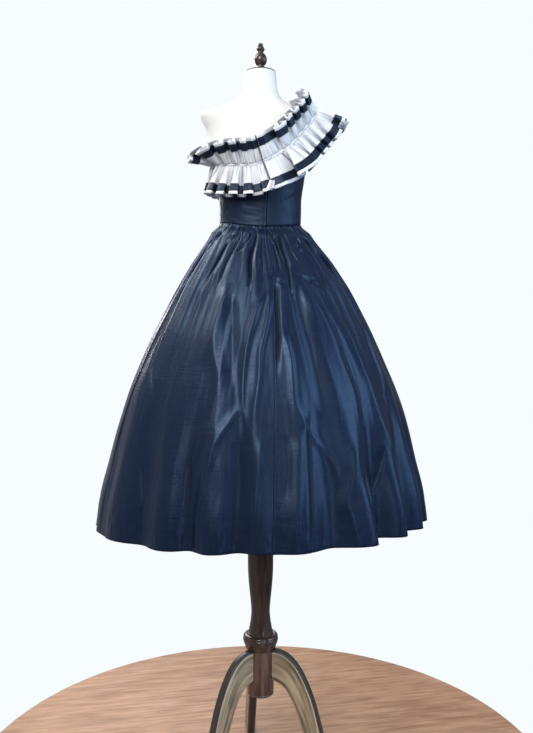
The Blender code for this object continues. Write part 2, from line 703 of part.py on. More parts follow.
def make_stand(wood, leg_wood, collection):
    """Neck cap and finial on top, and the pole, hub and three arched legs below."""
    cap_low = NECK_TOP + SEAT_GAP
    cap_high = cap_low + CAP_HEIGHT
    turned("neck_cap", [(0, cap_high), (0.0405, cap_high), (0.0415, cap_high - 0.001), (0.0415, cap_low + 0.001),
                        (0.0405, cap_low), (0, cap_low)], 24, wood, collection)
    base = cap_high + SEAT_GAP
    turned("finial", [(0, 1.9844), (0.0042, 1.9835), (0.0074, 1.9795), (0.0075, 1.9765), (0.0066, 1.9735),
                      (0.0108, 1.9705), (0.0114, 1.9670), (0.0082, 1.9610), (0.0080, 1.9570), (0.0140, 1.9495),
                      (0.0175, 1.9405), (0.0165, 1.9330), (0.0125, 1.9265), (0.0098, 1.9225), (0.0115, 1.9170),
                      (0.0165, base + 0.004), (0.0165, base), (0, base)], 14, wood, collection)
    turned("pole", [(0, POLE_TOP), (0.0300, POLE_TOP), (0.0300, 0.700), (0.0345, 0.640), (0.0353, 0.580),
                    (0.0348, 0.540), (0.0320, 0.500), (0.0280, 0.460), (0.0257, 0.430), (0.0275, 0.408),
                    (0.0315, 0.384), (0.0345, 0.366), (0.0430, 0.3655), (0.0478, 0.3600), (0.0487, 0.3515),
                    (0.0478, 0.3430), (0.0440, 0.3400), (0.0420, HUB_TOP + SEAT_GAP), (0, HUB_TOP + SEAT_GAP)],
           20, wood, collection)
    turned("hub", [(0, HUB_TOP), (HUB_RADIUS, HUB_TOP), (HUB_RADIUS, HUB_BOTTOM + 0.010),
                   (HUB_RADIUS - 0.0012, HUB_BOTTOM + 0.008), (HUB_RADIUS - 0.0012, HUB_BOTTOM + 0.006),
                   (HUB_RADIUS, HUB_BOTTOM + 0.004), (HUB_RADIUS - 0.002, HUB_BOTTOM), (0, HUB_BOTTOM)],
           20, wood, collection)
    cutters = bpy.data.collections.new("cutters")
    bpy.context.scene.collection.children.link(cutters)
    bpy.ops.mesh.primitive_cylinder_add(vertices=56, radius=HUB_RADIUS + SEAT_GAP + 0.0001, depth=0.3,
                                        location=(0, 0, 0.3))
    cutter = bpy.context.active_object
    cutter.name = "hub_cutter"
    cutter.hide_render = True
    cutter.display_type = "WIRE"
    for holder in cutter.users_collection:
        holder.objects.unlink(cutter)
    cutters.objects.link(cutter)
    for name, angle in LEG_ANGLES.items():
        make_leg(name, angle, cutter, leg_wood, collection)


def make_leg(name, angle, cutter, material, collection):
    """One flat arched leg, cut to the hub's round at its upper end."""
    outline = bpy.data.curves.new(name, "CURVE")
    outline.dimensions = "2D"
    outline.fill_mode = "BOTH"
    outline.extrude = LEG_THICKNESS / 2 - LEG_BEVEL
    outline.bevel_depth = LEG_BEVEL
    outline.bevel_resolution = 0
    corners = LEG_OUTER_ROWS + LEG_INNER_ROWS
    spline = outline.splines.new("POLY")
    spline.points.add(len(corners) - 1)
    for point, (radius, height) in zip(spline.points, corners):
        point.co = (radius, height, 0, 1)
    spline.use_cyclic_u = True
    flat = bpy.data.objects.new(name + "_outline", outline)
    collection.objects.link(flat)
    evaluated = flat.evaluated_get(bpy.context.evaluated_depsgraph_get())
    mesh = bpy.data.meshes.new_from_object(evaluated)
    bpy.data.objects.remove(flat)
    leg = bmesh.new()
    leg.from_mesh(mesh)
    bmesh.ops.remove_doubles(leg, verts=leg.verts, dist=0.00001)
    floor = min(vertex.co.y for vertex in leg.verts)
    for vertex in leg.verts:
        if vertex.co.y < 0.004:
            vertex.co.y = max(vertex.co.y, 0.0) if vertex.co.y > floor + 0.001 else 0.0
    leg.to_mesh(mesh)
    leg.free()
    item = place(name, mesh, material, collection)
    item.rotation_euler = (math.pi / 2, 0, math.radians(angle))
    cut = item.modifiers.new("hub_seat", "BOOLEAN")
    cut.operation = "DIFFERENCE"
    cut.object = cutter
    return item


def make_zip(tape_material, metal, collection):
    """Zip tape behind the centre back, the slider on it near the top, and the pull tab on the slider's pin."""
    columns = [[], [], []]
    normal_columns = [[], [], []]
    behind_bodice = BODICE_CLEAR - ZIP_TAPE_CLEAR - ZIP_TAPE_WALL
    waist = waist_height(90.0)
    for row in range(BODICE_BACK_LEFT_ROWS - 1, -1, -1):
        height = waist + (NECKLINE_ROWS[0][1] - waist) * row / BODICE_BACK_LEFT_ROWS
        width = smooth_table(FORM_ROWS, height, 1)
        for index, side in enumerate((1, 0, -1)):
            angle = 90.0 - side * math.degrees(ZIP_TAPE_HALF_WIDTH / width)
            normal = form_normal(angle, height)
            columns[index].append(form_point(angle, height) + normal * behind_bodice)
            normal_columns[index].append(normal)
    for down in ZIP_ROWS:
        centre = skirt_point(CENTRE_BACK_GATHER, down)
        beside = (skirt_point(CENTRE_BACK_GATHER + 0.1, down) - centre).length / 0.1
        for index, side in enumerate((1, 0, -1)):
            gather = CENTRE_BACK_GATHER - side * ZIP_TAPE_HALF_WIDTH / beside
            normal = skirt_normal(gather, down)
            columns[index].append(skirt_point(gather, down) - normal * (ZIP_TAPE_CLEAR + ZIP_TAPE_WALL))
            normal_columns[index].append(normal)
    inner, outer = wall_grids(columns, normal_columns, ZIP_TAPE_WALL, False)
    cloth_wall("zip_tape", inner, outer, False, tape_material, collection)

    depth = form_point(90.0, SLIDER_HEIGHT).y + BODICE_CLEAR + BODICE_WALL
    width, thickness, height = SLIDER_SIZE
    slider_back = depth + SLIDER_CLEAR
    pin_depth = slider_back + thickness + PULL_EYE + PIN_CLEAR
    bpy.ops.mesh.primitive_cube_add(size=1, location=(0, slider_back + thickness / 2, SLIDER_HEIGHT))
    slider = adopt(bpy.context.active_object, "zip_slider", metal, collection)
    slider.data.transform(slider.matrix_basis.Diagonal((width, thickness, height, 1)))
    ear_reach = pin_depth + EAR_PAST_PIN - slider_back - thickness / 2
    for side in (-1, 1):
        bpy.ops.mesh.primitive_cube_add(size=1)
        ear = adopt(bpy.context.active_object, "slider_ear", metal, None)
        ear.data.transform(ear.matrix_basis.Diagonal((EAR_THICKNESS, ear_reach, EAR_HEIGHT, 1)))
        ear.location = (side * EAR_PLACE, slider_back + thickness / 2 + ear_reach / 2, SLIDER_HEIGHT)
        join_to(slider, ear)
    bpy.ops.mesh.primitive_cylinder_add(vertices=10, radius=PIN_RADIUS, depth=PIN_LENGTH,
                                        rotation=(0, math.pi / 2, 0))
    pin = adopt(bpy.context.active_object, "slider_pin", metal, None)
    pin.location = (0, pin_depth, SLIDER_HEIGHT)
    join_to(slider, pin)

    pull = bpy.data.curves.new("zip_pull", "CURVE")
    pull.dimensions = "2D"
    pull.fill_mode = "BOTH"
    pull.extrude = PULL_WIDTH / 2
    half = PULL_THICKNESS / 2
    start = math.asin(half / PULL_EYE)
    outline = [(half, -PULL_LENGTH), (half, -PULL_EYE * math.cos(start))]
    eye_sides = 14
    for step in range(1, eye_sides):
        turn = start + (2 * math.pi - 2 * start) * step / eye_sides
        outline.append((PULL_EYE * math.sin(turn), -PULL_EYE * math.cos(turn)))
    outline += [(-half, -PULL_EYE * math.cos(start)), (-half, -PULL_LENGTH)]
    bore = [(PULL_BORE * math.cos(math.tau * i / 12), PULL_BORE * math.sin(math.tau * i / 12)) for i in range(12)]
    for corners in (outline, bore):
        spline = pull.splines.new("POLY")
        spline.points.add(len(corners) - 1)
        for point, (y, z) in zip(spline.points, corners):
            point.co = (y, z, 0, 1)
        spline.use_cyclic_u = True
    flat = bpy.data.objects.new("pull_outline", pull)
    collection.objects.link(flat)
    mesh = bpy.data.meshes.new_from_object(flat.evaluated_get(bpy.context.evaluated_depsgraph_get()))
    bpy.data.objects.remove(flat)
    welded = bmesh.new()
    welded.from_mesh(mesh)
    bmesh.ops.remove_doubles(welded, verts=welded.verts, dist=0.000001)
    welded.to_mesh(mesh)
    welded.free()
    tab = place("zip_pull", mesh, metal, collection)
    tab.rotation_euler = (math.pi / 2, 0, math.pi / 2)
    tab.location = (0, pin_depth, SLIDER_HEIGHT)


def adopt(item, name, material, collection):
    """Names a new primitive and moves it into a collection."""
    item.name = name
    item.data.materials.append(material)
    for holder in item.users_collection:
        holder.objects.unlink(item)
    if collection:
        collection.objects.link(item)
    return item


def join_to(item, added):
    """Adds a closed shape to another with a union, and removes the added object."""
    helpers = bpy.context.scene.collection
    helpers.objects.link(added)
    union = item.modifiers.new("join", "BOOLEAN")
    union.operation = "UNION"
    union.object = added
    bpy.context.view_layer.update()
    evaluated = item.evaluated_get(bpy.context.evaluated_depsgraph_get())
    joined = bpy.data.meshes.new_from_object(evaluated)
    item.modifiers.remove(union)
    item.data = joined
    bpy.data.objects.remove(added)


def main():
    for item in list(bpy.data.objects):
        bpy.data.objects.remove(item)
    dress = bpy.data.collections.new("evening_dress_on_form")
    bpy.context.scene.collection.children.link(dress)
    taffeta_navy = new_material("taffeta_navy", (0.012, 0.020, 0.055), 0.38)
    taffeta_white = new_material("taffeta_white", (0.86, 0.87, 0.90), 0.45)
    ribbon_navy = new_material("ribbon_navy", (0.010, 0.014, 0.035), 0.40)
    zip_metal = new_material("zip_metal", (0.55, 0.55, 0.56), 0.30, 1.0)
    form_cover = new_material("form_cover", (0.88, 0.87, 0.84), 0.85)
    wood_dark = new_material("wood_dark", (0.045, 0.028, 0.020), 0.30)
    wood_leg = new_material("wood_leg", (0.26, 0.20, 0.12), 0.50)
    make_form(form_cover, dress)
    make_stand(wood_dark, wood_leg, dress)
    make_bodice(taffeta_navy, dress)
    make_skirt(taffeta_navy, dress)
    make_ruffle(taffeta_white, ribbon_navy, dress)
    make_zip(taffeta_navy, zip_metal, dress)


main()
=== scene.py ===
"""One-shoulder evening dress of navy taffeta with a white double-edged ruffle, on its dress form and stand.

Units are metres and +Z is up. The dress faces -Y, its centre back is at +Y and the shoulder that carries
the ruffle is at -X. Angles round the body run from +X over +Y, in degrees.
"""

import math

import bmesh
import bpy
import numpy as np
from mathutils import Matrix, Vector


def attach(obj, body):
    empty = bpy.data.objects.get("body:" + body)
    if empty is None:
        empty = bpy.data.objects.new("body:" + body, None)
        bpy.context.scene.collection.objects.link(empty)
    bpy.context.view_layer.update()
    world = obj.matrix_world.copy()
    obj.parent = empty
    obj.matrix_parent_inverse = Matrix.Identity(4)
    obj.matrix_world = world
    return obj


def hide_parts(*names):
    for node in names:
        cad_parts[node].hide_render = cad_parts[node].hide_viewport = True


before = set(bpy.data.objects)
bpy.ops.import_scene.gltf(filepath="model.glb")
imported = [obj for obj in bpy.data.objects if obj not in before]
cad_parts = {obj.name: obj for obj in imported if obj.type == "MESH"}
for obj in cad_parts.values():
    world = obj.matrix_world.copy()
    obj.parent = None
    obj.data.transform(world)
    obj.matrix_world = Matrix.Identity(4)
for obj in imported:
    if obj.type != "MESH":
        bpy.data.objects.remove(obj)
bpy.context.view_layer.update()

DRESS_BODY = "dress_on_stand"

# Camera: focal length in pixels of the 533 x 733 picture, place and pitch
FOCAL_PIXELS = 753.0
PICTURE_HEIGHT = 733
SENSOR = 36.0
CAMERA_AZIMUTH = 169.0
CAMERA_DISTANCE = 2.07
CAMERA_HEIGHT = 1.18
CAMERA_PITCH = 2.0
CAMERA_SHIFT_PIXELS = 6.0

# Sizes of the dress and its form
WAIST_HEIGHT = 1.494
WAIST_DIP_BACK = 0.016
HEM_HEIGHT = 0.684
FORM_BASE = 1.270
NECK_TOP = 1.9035
SEAT_GAP = 0.0003
SKIRT_SEAM_TUCK = 0.0020
BODICE_SEAM_TUCK = 0.0010
FINIAL_TOP = 1.9844
BODICE_CLEAR = 0.0034
STRAP_LIFT = 0.0045
STRAP_START = 1.748
STRAP_RISE = 0.030
WALL = 0.0018
CLOTH = 0.0006
RIBBON = 0.0004
SKIRT_DEPTH_RATIO = 0.773
GATHERS = 36
SEAM_LEFT_GATHER = 1
CENTRE_BACK_GATHER = 9
SEAM_RIGHT_GATHER = 17
CENTRE_BACK_DRIFT = -6.1
ZIP_END = 1.352
CREASES_ABOVE = 1.45
CREASES_BELOW = 0.85
CROSSING_STRENGTH = 1.3
EDGE_BREAK = 0.30
PLACKET_HALF = 0.0066
PLACKET_STRIP_HALF = 0.0068
HEM_ROW = 0.905
PLACKET_END_SHARE = 0.157
ARMHOLE_STITCH_INSET = 0.003
SIDE_SEAM_SHIFT = 0.55

RUFFLE_BELOW_EDGE = 0.004
UPPER_FRILL = 0.070
LOWER_FRILL = 0.083
BAND_WIDTH = 0.021
BAND_MARGIN = 0.009
BAND_LIFT = 0.0011
BAND_STITCH_INSET = 0.0014
GATHERING_ROW = 0.0031
RUFFLE_OVERLAP = 0.014
RUFFLE_OVER_LIFT = 0.0080
PULL_ROOM = 0.0024
RUFFLE_CLEAR = 0.0005
RUFFLE_SHOULDER_EASE = 0.0045
SHOULDER_START = 1.715
WAVE_AT_STITCHING = 0.0012
WAVE_AT_LOWER_EDGE = 0.0118
WAVE_AT_UPPER_EDGE = 0.0104
WAVE_OVERHANG = 0.18
WAVE_SQUARENESS = 1.7
# Here the ruffle's end goes under its start, and from here on the end carries a painted shadow
HIDDEN_WAVE = 27.22

HUB_TOP = 0.327
HUB_BOTTOM = 0.196
HUB_RADIUS = 0.0364
FLOOR_RADIUS = 0.80
LEG_EDGE_COLOUR = (0.022, 0.018, 0.020)
LEG_WORN_COLOUR = (0.75, 0.66, 0.50)
CAP_THICKNESS = 0.0034
LEG_THICKNESS = 0.025
LEG_STATIONS = 72
FORM_COLUMNS = 144
TURNED_COLUMNS = 96
LEG_ANGLES = {"leg_front": -90.0, "leg_back_left": 30.0, "leg_back_right": 150.0}

# Stitches and zip teeth: pitch, then length, width and height of each one
TOPSTITCH = 0.0026, (0.0021, 0.0006, 0.0005)
HEM_STITCH = 0.009, (0.0014, 0.0005, 0.0004)
GATHERING_STITCH = 0.0030, (0.0024, 0.0006, 0.0006)
BAND_STITCH = 0.0032, (0.0025, 0.0005, 0.0004)
ZIP_TOOTH = 0.0016, (0.0046, 0.0011, 0.0008)
ZIP_STOP_SIZE = (0.0046, 0.0030, 0.0022)
ZIP_TEETH_DEPTH = 0.0016
BODICE_ZIP_HEIGHTS = (1.482, 1.640)
SKIRT_ZIP_START = 0.004

# Daylight: share of each direction's axis, then the mean and the least strength
DAYLIGHT_SHARES = ((0, 0.10), (2, 0.08), (1, -0.08))
DAYLIGHT_MEAN = 0.17
DAYLIGHT_LEAST = 0.05
WALL_BRIGHTNESS = 0.77
EXPOSURE = 0.42

# Lights: name, place, what it faces, width and height, power, colour
AREA_LIGHTS = (
    ("window_key", (0.95, 2.35, 2.85), (0, 0.05, 1.1), (1.1, 1.3), 47, (1.0, 0.99, 0.97)),
    ("window_high", (1.6, -0.4, 3.4), (0, 0, 1.5), (1.2, 1.2), 34, (1.0, 0.99, 0.95)),
    ("window_right", (-2.5, 1.4, 2.0), (0, 0, 1.1), (1.7, 2.4), 39, (0.50, 0.74, 1.0)),
    ("door_strip", (-0.75, 2.6, 1.15), (0, 0, 0.7), (0.22, 1.5), 5, (0.80, 0.90, 1.0)),
    ("front_fill", (0.6, -2.8, 2.6), (0, 0, 1.2), (2.4, 2.0), 60, (1.0, 0.98, 0.95)),
)

# Dress form: height, half width, depth behind, depth in front
FORM_ROWS = (
    (1.270, 0.134, 0.108, 0.104), (1.330, 0.146, 0.114, 0.108), (1.400, 0.141, 0.108, 0.103),
    (1.450, 0.120, 0.091, 0.089), (1.494, 0.106, 0.081, 0.081), (1.555, 0.107, 0.085, 0.098),
    (1.605, 0.113, 0.091, 0.117), (1.655, 0.122, 0.097, 0.126), (1.705, 0.134, 0.100, 0.115),
    (1.742, 0.146, 0.095, 0.096), (1.768, 0.160, 0.086, 0.079), (1.781, 0.165, 0.080, 0.070),
    (1.790, 0.153, 0.074, 0.063), (1.801, 0.124, 0.066, 0.057), (1.815, 0.0900, 0.058, 0.053),
    (1.832, 0.0610, 0.051, 0.049), (1.854, 0.0480, 0.046, 0.046), (1.878, 0.0440, 0.0435, 0.0435),
    (1.9035, 0.0420, 0.0420, 0.0420),
)

# Skirt: share of the way down, half width of the bell there, how far its middle lies to the wearer's right
BELL_ROWS = (
    (0.000, 0.1100, 0.0000), (0.017, 0.1250, 0.0010), (0.052, 0.1425, 0.0025), (0.128, 0.1873, 0.0070),
    (0.209, 0.2288, 0.0092), (0.291, 0.2648, 0.0102), (0.375, 0.3009, 0.0105), (0.458, 0.3313, 0.0105),
    (0.544, 0.3601, 0.0105), (0.635, 0.3837, 0.0105), (0.715, 0.4007, 0.0103), (0.800, 0.4165, 0.0102),
    (0.900, 0.4356, 0.0101), (1.000, 0.4462, 0.0100),
)

# How deep the gathers are on the way down: share of the way down, depth
GATHER_ROWS = (
    (0.000, 0.0012), (0.020, 0.0030), (0.060, 0.0050), (0.130, 0.0058), (0.250, 0.0046), (0.400, 0.0026),
    (0.600, 0.0010), (1.000, 0.0000),
)

# Skirt folds: angle at the hem, angle where the fold starts, share of the way down where it starts,
# height of the ridge at the hem (a trough is negative), half width in degrees
FOLD_ROWS = (
    (8.0, 9.0, 0.30, 0.008, 6.0), (22.0, 25.0, 0.25, 0.010, 7.0), (38.0, 36.0, 0.40, -0.015, 5.5),
    (49.0, 47.0, 0.30, 0.010, 6.0), (57.5, 55.0, 0.50, -0.020, 4.0), (65.0, 62.0, 0.35, 0.014, 5.0),
    (74.0, 71.0, 0.12, -0.018, 4.5), (80.0, 78.0, 0.30, 0.012, 4.0), (92.0, 94.0, 0.35, 0.014, 5.0),
    (104.0, 102.0, 0.42, -0.022, 5.0), (117.0, 110.0, 0.30, 0.022, 6.0), (126.0, 124.0, 0.50, -0.046, 4.5),
    (134.0, 131.0, 0.30, 0.014, 5.0), (142.0, 140.0, 0.45, -0.026, 4.0), (149.0, 147.0, 0.30, 0.014, 5.0),
    (156.5, 155.0, 0.45, -0.028, 4.0), (165.0, 165.0, 0.30, 0.012, 5.0), (178.0, 176.0, 0.45, -0.018, 5.0),
    (190.0, 188.0, 0.30, 0.012, 6.0), (201.0, 200.0, 0.45, -0.024, 4.5), (213.0, 211.0, 0.30, 0.015, 6.0),
    (224.0, 222.0, 0.35, -0.028, 4.5), (236.0, 236.0, 0.30, 0.016, 6.0), (248.0, 250.0, 0.45, -0.022, 5.0),
    (259.0, 260.0, 0.30, 0.014, 6.0), (270.0, 271.0, 0.40, -0.026, 5.0), (282.0, 281.0, 0.30, 0.015, 6.0),
    (293.0, 292.0, 0.35, -0.024, 4.5), (305.0, 303.0, 0.30, 0.014, 6.0), (317.0, 317.0, 0.45, -0.020, 5.0),
    (329.0, 328.0, 0.30, 0.012, 6.0), (342.0, 342.0, 0.40, -0.018, 5.0), (354.0, 354.0, 0.30, 0.010, 6.0),
)

# Creases that fall down the skirt: rise (a trough is negative), half width on the smaller angle's side,
# half width on the other side, all in millimetres, then the line as angle and height from its top end
FALLING_CREASES = (
    (5.0, 11, 8, ((86.2, 1.314), (79.3, 1.275), (75.1, 1.205), (73.2, 1.132), (73.2, 1.049), (74.6, 0.991),
                  (77.3, 0.930))),
    (4.0, 8, 7, ((85.5, 1.306), (83.3, 1.230), (80.1, 1.156), (79.5, 1.085), (78.2, 1.014), (77.5, 0.940))),
    (5.5, 22, 17, ((58.7, 1.330), (56.4, 1.235), (56.8, 1.188), (60.1, 1.132), (62.8, 1.089),
                   (64.6, 1.000))),
    (6.5, 13, 9, ((74.0, 1.040), (65.1, 0.944), (63.1, 0.887), (62.2, 0.829), (60.5, 0.761),
                  (59.5, 0.640))),
    (4.0, 10, 9, ((66.9, 0.930), (68.2, 0.819), (67.9, 0.763), (68.5, 0.640))),
    (-5.0, 14, 5, ((50.0, 1.462), (43.9, 1.422), (40.4, 1.342), (37.2, 1.269), (38.3, 1.181), (39.3, 1.094),
                   (39.3, 0.960))),
    (3.5, 8, 14, ((50.0, 1.400), (42.5, 1.342), (40.2, 1.269), (41.3, 1.181), (42.3, 1.094),
                  (41.5, 0.980))),
    (-4.5, 9, 4, ((20.0, 1.455), (17.4, 1.433), (17.0, 1.333), (18.2, 1.253), (20.3, 1.181), (23.6, 1.117),
                  (30.7, 1.056), (38.3, 0.980))),
    (3.5, 10, 8, ((89.6, 1.230), (93.1, 1.144), (93.1, 1.084), (93.2, 1.025), (97.3, 0.973), (101.5, 0.930),
                  (105.7, 0.893), (107.7, 0.840), (108.8, 0.780))),
    (-6.5, 22, 24, ((101.0, 1.345), (102.0, 1.260), (102.6, 1.200), (104.0, 1.120), (105.0, 1.040),
                    (105.5, 0.930))),
    (1.5, 10, 8, ((103.7, 1.370), (98.5, 1.276), (97.5, 1.218), (99.3, 1.156), (100.5, 1.095),
                  (101.5, 1.036), (103.5, 0.988), (104.6, 0.920))),
    (6.0, 12, 7, ((118.0, 1.360), (122.1, 1.317), (125.2, 1.245), (128.1, 1.188), (129.3, 1.130),
                  (130.4, 1.066), (131.2, 0.985), (134.2, 0.921), (137.9, 0.886), (137.2, 0.843),
                  (137.4, 0.785), (136.7, 0.700))),
    (4.0, 8, 6, ((157.0, 1.280), (150.0, 1.200), (145.5, 1.154), (144.3, 1.084), (140.4, 1.020),
                 (139.7, 0.956), (138.4, 0.880))),
    (5.0, 22, 16, ((111.0, 1.330), (113.4, 1.277), (116.8, 1.201), (117.1, 1.143), (118.2, 1.093),
                   (119.4, 1.044), (119.2, 0.983), (117.9, 0.890))),
    (-6.0, 4.0, 3.2, ((101.9, 1.468), (101.7, 1.435), (101.0, 1.408), (100.4, 1.359), (99.2, 1.312),
                      (100.1, 1.270))),
    (3.0, 5, 8, ((105.0, 1.462), (105.0, 1.430), (104.0, 1.400), (103.6, 1.350))),
    (-3.0, 3.0, 2.6, ((93.0, 1.440), (93.9, 1.394), (93.7, 1.350))),
    (-2.4, 2.6, 2.4, ((91.0, 1.470), (95.0, 1.452), (97.0, 1.425), (98.0, 1.400))),
    (-7.0, 5, 4, ((160.8, 1.470), (160.0, 1.430), (159.9, 1.403), (158.4, 1.379), (156.0, 1.310))),
    (-3.4, 3.0, 2.6, ((119.5, 1.456), (126.1, 1.448), (123.7, 1.432), (116.3, 1.418))),
    (-7.0, 5, 4.5, ((77.5, 1.478), (76.8, 1.464), (74.5, 1.437), (72.1, 1.412), (71.3, 1.382),
                    (72.1, 1.347), (73.0, 1.290))),
    (3.0, 4, 9, ((82.0, 1.470), (79.5, 1.437), (77.0, 1.412), (75.8, 1.382), (76.4, 1.340))),
    (-4.0, 3.4, 3.0, ((70.5, 1.470), (68.8, 1.446), (61.4, 1.418), (55.3, 1.395))),
    (-5.0, 4.0, 3.0, ((56.0, 1.474), (53.5, 1.453), (46.5, 1.436), (42.1, 1.406), (39.3, 1.361),
                      (35.6, 1.300))),
    (-4.0, 3.5, 3.5, ((60.0, 1.465), (56.7, 1.438), (52.9, 1.401), (51.0, 1.365), (50.6, 1.300))),
    (-4.0, 3.5, 3.0, ((38.3, 1.478), (26.7, 1.457), (16.6, 1.432), (15.0, 1.387), (12.8, 1.310))),
    (-2.6, 3.0, 3.0, ((31.0, 1.470), (24.0, 1.440), (21.0, 1.400), (20.0, 1.350))),
    (-3.2, 3.5, 3.0, ((131.0, 1.470), (131.5, 1.440), (132.0, 1.400), (132.0, 1.350), (131.0, 1.280))),
    (-7.0, 5.5, 3.5, ((134.5, 1.468), (136.7, 1.447), (139.5, 1.422), (145.0, 1.393), (149.0, 1.350),
                      (151.0, 1.270))),
    (4.0, 4.0, 9.0, ((138.5, 1.468), (141.0, 1.440), (146.0, 1.412), (151.0, 1.372), (154.0, 1.300))),
    (-3.4, 2.6, 2.2, ((96.5, 1.462), (97.6, 1.436), (97.0, 1.410), (98.4, 1.384), (97.6, 1.352))),
    (-3.0, 2.4, 2.4, ((108.0, 1.466), (109.5, 1.440), (108.4, 1.416), (110.6, 1.386), (112.0, 1.352))),
    (-2.8, 2.4, 2.4, ((84.0, 1.462), (82.4, 1.436), (81.0, 1.404), (81.4, 1.372), (80.4, 1.330))),
    (2.6, 8, 6, ((134.0, 1.466), (135.0, 1.420), (135.4, 1.370), (134.0, 1.310))),
    (-5.0, 11, 13, ((121.4, 1.430), (122.6, 1.384), (124.1, 1.349), (123.5, 1.310))),
    (-7.0, 3.5, 8, ((89.8, 1.345), (88.8, 1.300), (88.4, 1.268), (88.0, 1.205), (87.2, 1.151),
                    (86.4, 1.070))),
    (-6.0, 6, 4, ((98.5, 1.020), (97.6, 0.977), (97.2, 0.873), (96.6, 0.759), (96.2, 0.640))),
    (6.0, 15, 9, ((94.2, 0.970), (92.8, 0.851), (91.4, 0.761), (90.8, 0.640))),
    (-4.0, 16, 12, ((62.0, 1.300), (66.0, 1.205), (68.0, 1.108), (69.5, 1.030))),
    (-5.0, 12, 10, ((71.4, 0.970), (73.0, 0.854), (72.3, 0.763), (72.2, 0.640))),
    (5.0, 12, 8, ((80.8, 0.960), (79.6, 0.854), (78.8, 0.764), (79.2, 0.640))),
    (-4.0, 9, 9, ((89.2, 0.960), (89.5, 0.875), (88.2, 0.790))),
    (6.0, 18, 14, ((116.3, 0.960), (113.1, 0.865), (109.5, 0.797), (110.6, 0.749), (113.0, 0.640))),
    (-5.0, 8, 5, ((116.8, 0.870), (118.6, 0.778), (121.1, 0.716), (122.0, 0.640))),
    (-7.0, 10, 4, ((130.8, 0.920), (127.0, 0.832), (124.2, 0.773), (122.7, 0.702), (122.5, 0.640))),
    (-4.0, 6, 4, ((139.4, 0.820), (139.0, 0.745), (138.1, 0.640))),
    (-5.0, 8, 5, ((54.9, 0.920), (55.8, 0.804), (55.8, 0.736), (55.6, 0.640))),
    (-3.0, 6, 5, ((32.4, 0.890), (36.5, 0.793), (36.6, 0.745), (38.9, 0.640))),
    (3.0, 12, 8, ((61.0, 0.990), (60.0, 0.967), (57.7, 0.908), (56.0, 0.860))),
)

# Short creases across the skirt: rise, half width below, half width above, then angle and height along them
CROSSING_CREASES = (
    (-3.2, 2.6, 2.2, ((86.5, 1.339), (92.7, 1.329), (99.6, 1.325))),
    (2.0, 5.0, 3.0, ((87.0, 1.346), (92.7, 1.337), (99.0, 1.333))),
    (-3.2, 2.6, 2.6, ((104.5, 1.347), (113.4, 1.337), (121.0, 1.333))),
    (-3.4, 3.0, 2.6, ((113.0, 1.334), (119.0, 1.324), (126.5, 1.308))),
    (2.0, 5.0, 3.0, ((107.0, 1.356), (114.0, 1.346), (121.0, 1.341))),
)

# Wrinkles across the bodice, in the same columns
BODICE_WRINKLES = (
    (-2.0, 4.0, 3.0, ((104.0, 1.541), (122.4, 1.556), (152.0, 1.581))),
    (1.2, 6.0, 4.0, ((106.0, 1.549), (124.0, 1.564), (148.0, 1.585))),
    (1.0, 4.0, 4.0, ((94.7, 1.524), (109.3, 1.530), (128.0, 1.541))),
    (-1.0, 4.0, 4.0, ((96.0, 1.509), (106.0, 1.512), (118.0, 1.520))),
    (1.2, 7.0, 5.0, ((12.0, 1.556), (44.6, 1.546), (72.0, 1.548))),
    (-1.0, 5.0, 4.0, ((18.0, 1.514), (35.2, 1.537), (46.0, 1.553))),
    (-1.2, 5.0, 5.0, ((200.0, 1.520), (236.0, 1.531), (262.0, 1.526))),
    (1.0, 5.0, 5.0, ((284.0, 1.538), (312.0, 1.530), (340.0, 1.541))),
)

# Neckline, from the centre back over the right shoulder and round the front to the left underarm:
# angle, height, lean of the lower frill off the body, lean of the upper frill off the body
NECKLINE_ROWS = (
    (90.0, 1.652, 22.0, 20.0), (108.0, 1.679, 21.0, 18.0), (121.0, 1.707, 20.0, 16.0),
    (133.0, 1.750, 16.0, 16.0), (142.0, 1.7835, 10.0, 15.0), (156.0, 1.7890, 4.0, 14.0),
    (180.0, 1.7900, 2.0, 14.0), (204.0, 1.7890, 4.0, 15.0), (218.0, 1.7835, 8.0, 16.0),
    (227.0, 1.750, 10.0, 16.0), (239.0, 1.711, 8.0, 10.0), (253.0, 1.690, 6.0, 8.0),
    (270.0, 1.676, 5.0, 8.0), (295.0, 1.668, 4.0, 10.0), (325.0, 1.664, 4.0, 26.0),
    (345.0, 1.663, 10.0, 54.0), (362.0, 1.660, 20.0, 72.0), (378.0, 1.653, 22.0, 58.0),
    (400.0, 1.643, 20.0, 34.0), (430.0, 1.638, 21.0, 22.0), (450.0, 1.652, 22.0, 20.0),
)
SHOULDER_STATION = 6
UNDERARM_STATION = 16

# Right armhole, up the back and down the front: angle, height
ARMHOLE_BACK_ROWS = ((170.0, 1.645), (163.0, 1.665), (156.0, 1.701), (154.0, 1.736), (158.0, 1.763),
                     (167.0, 1.776), (180.0, 1.7795))
ARMHOLE_FRONT_ROWS = ((170.0, 1.645), (190.0, 1.658), (203.0, 1.688), (208.0, 1.726), (204.0, 1.760),
                      (195.0, 1.775), (180.0, 1.7795))

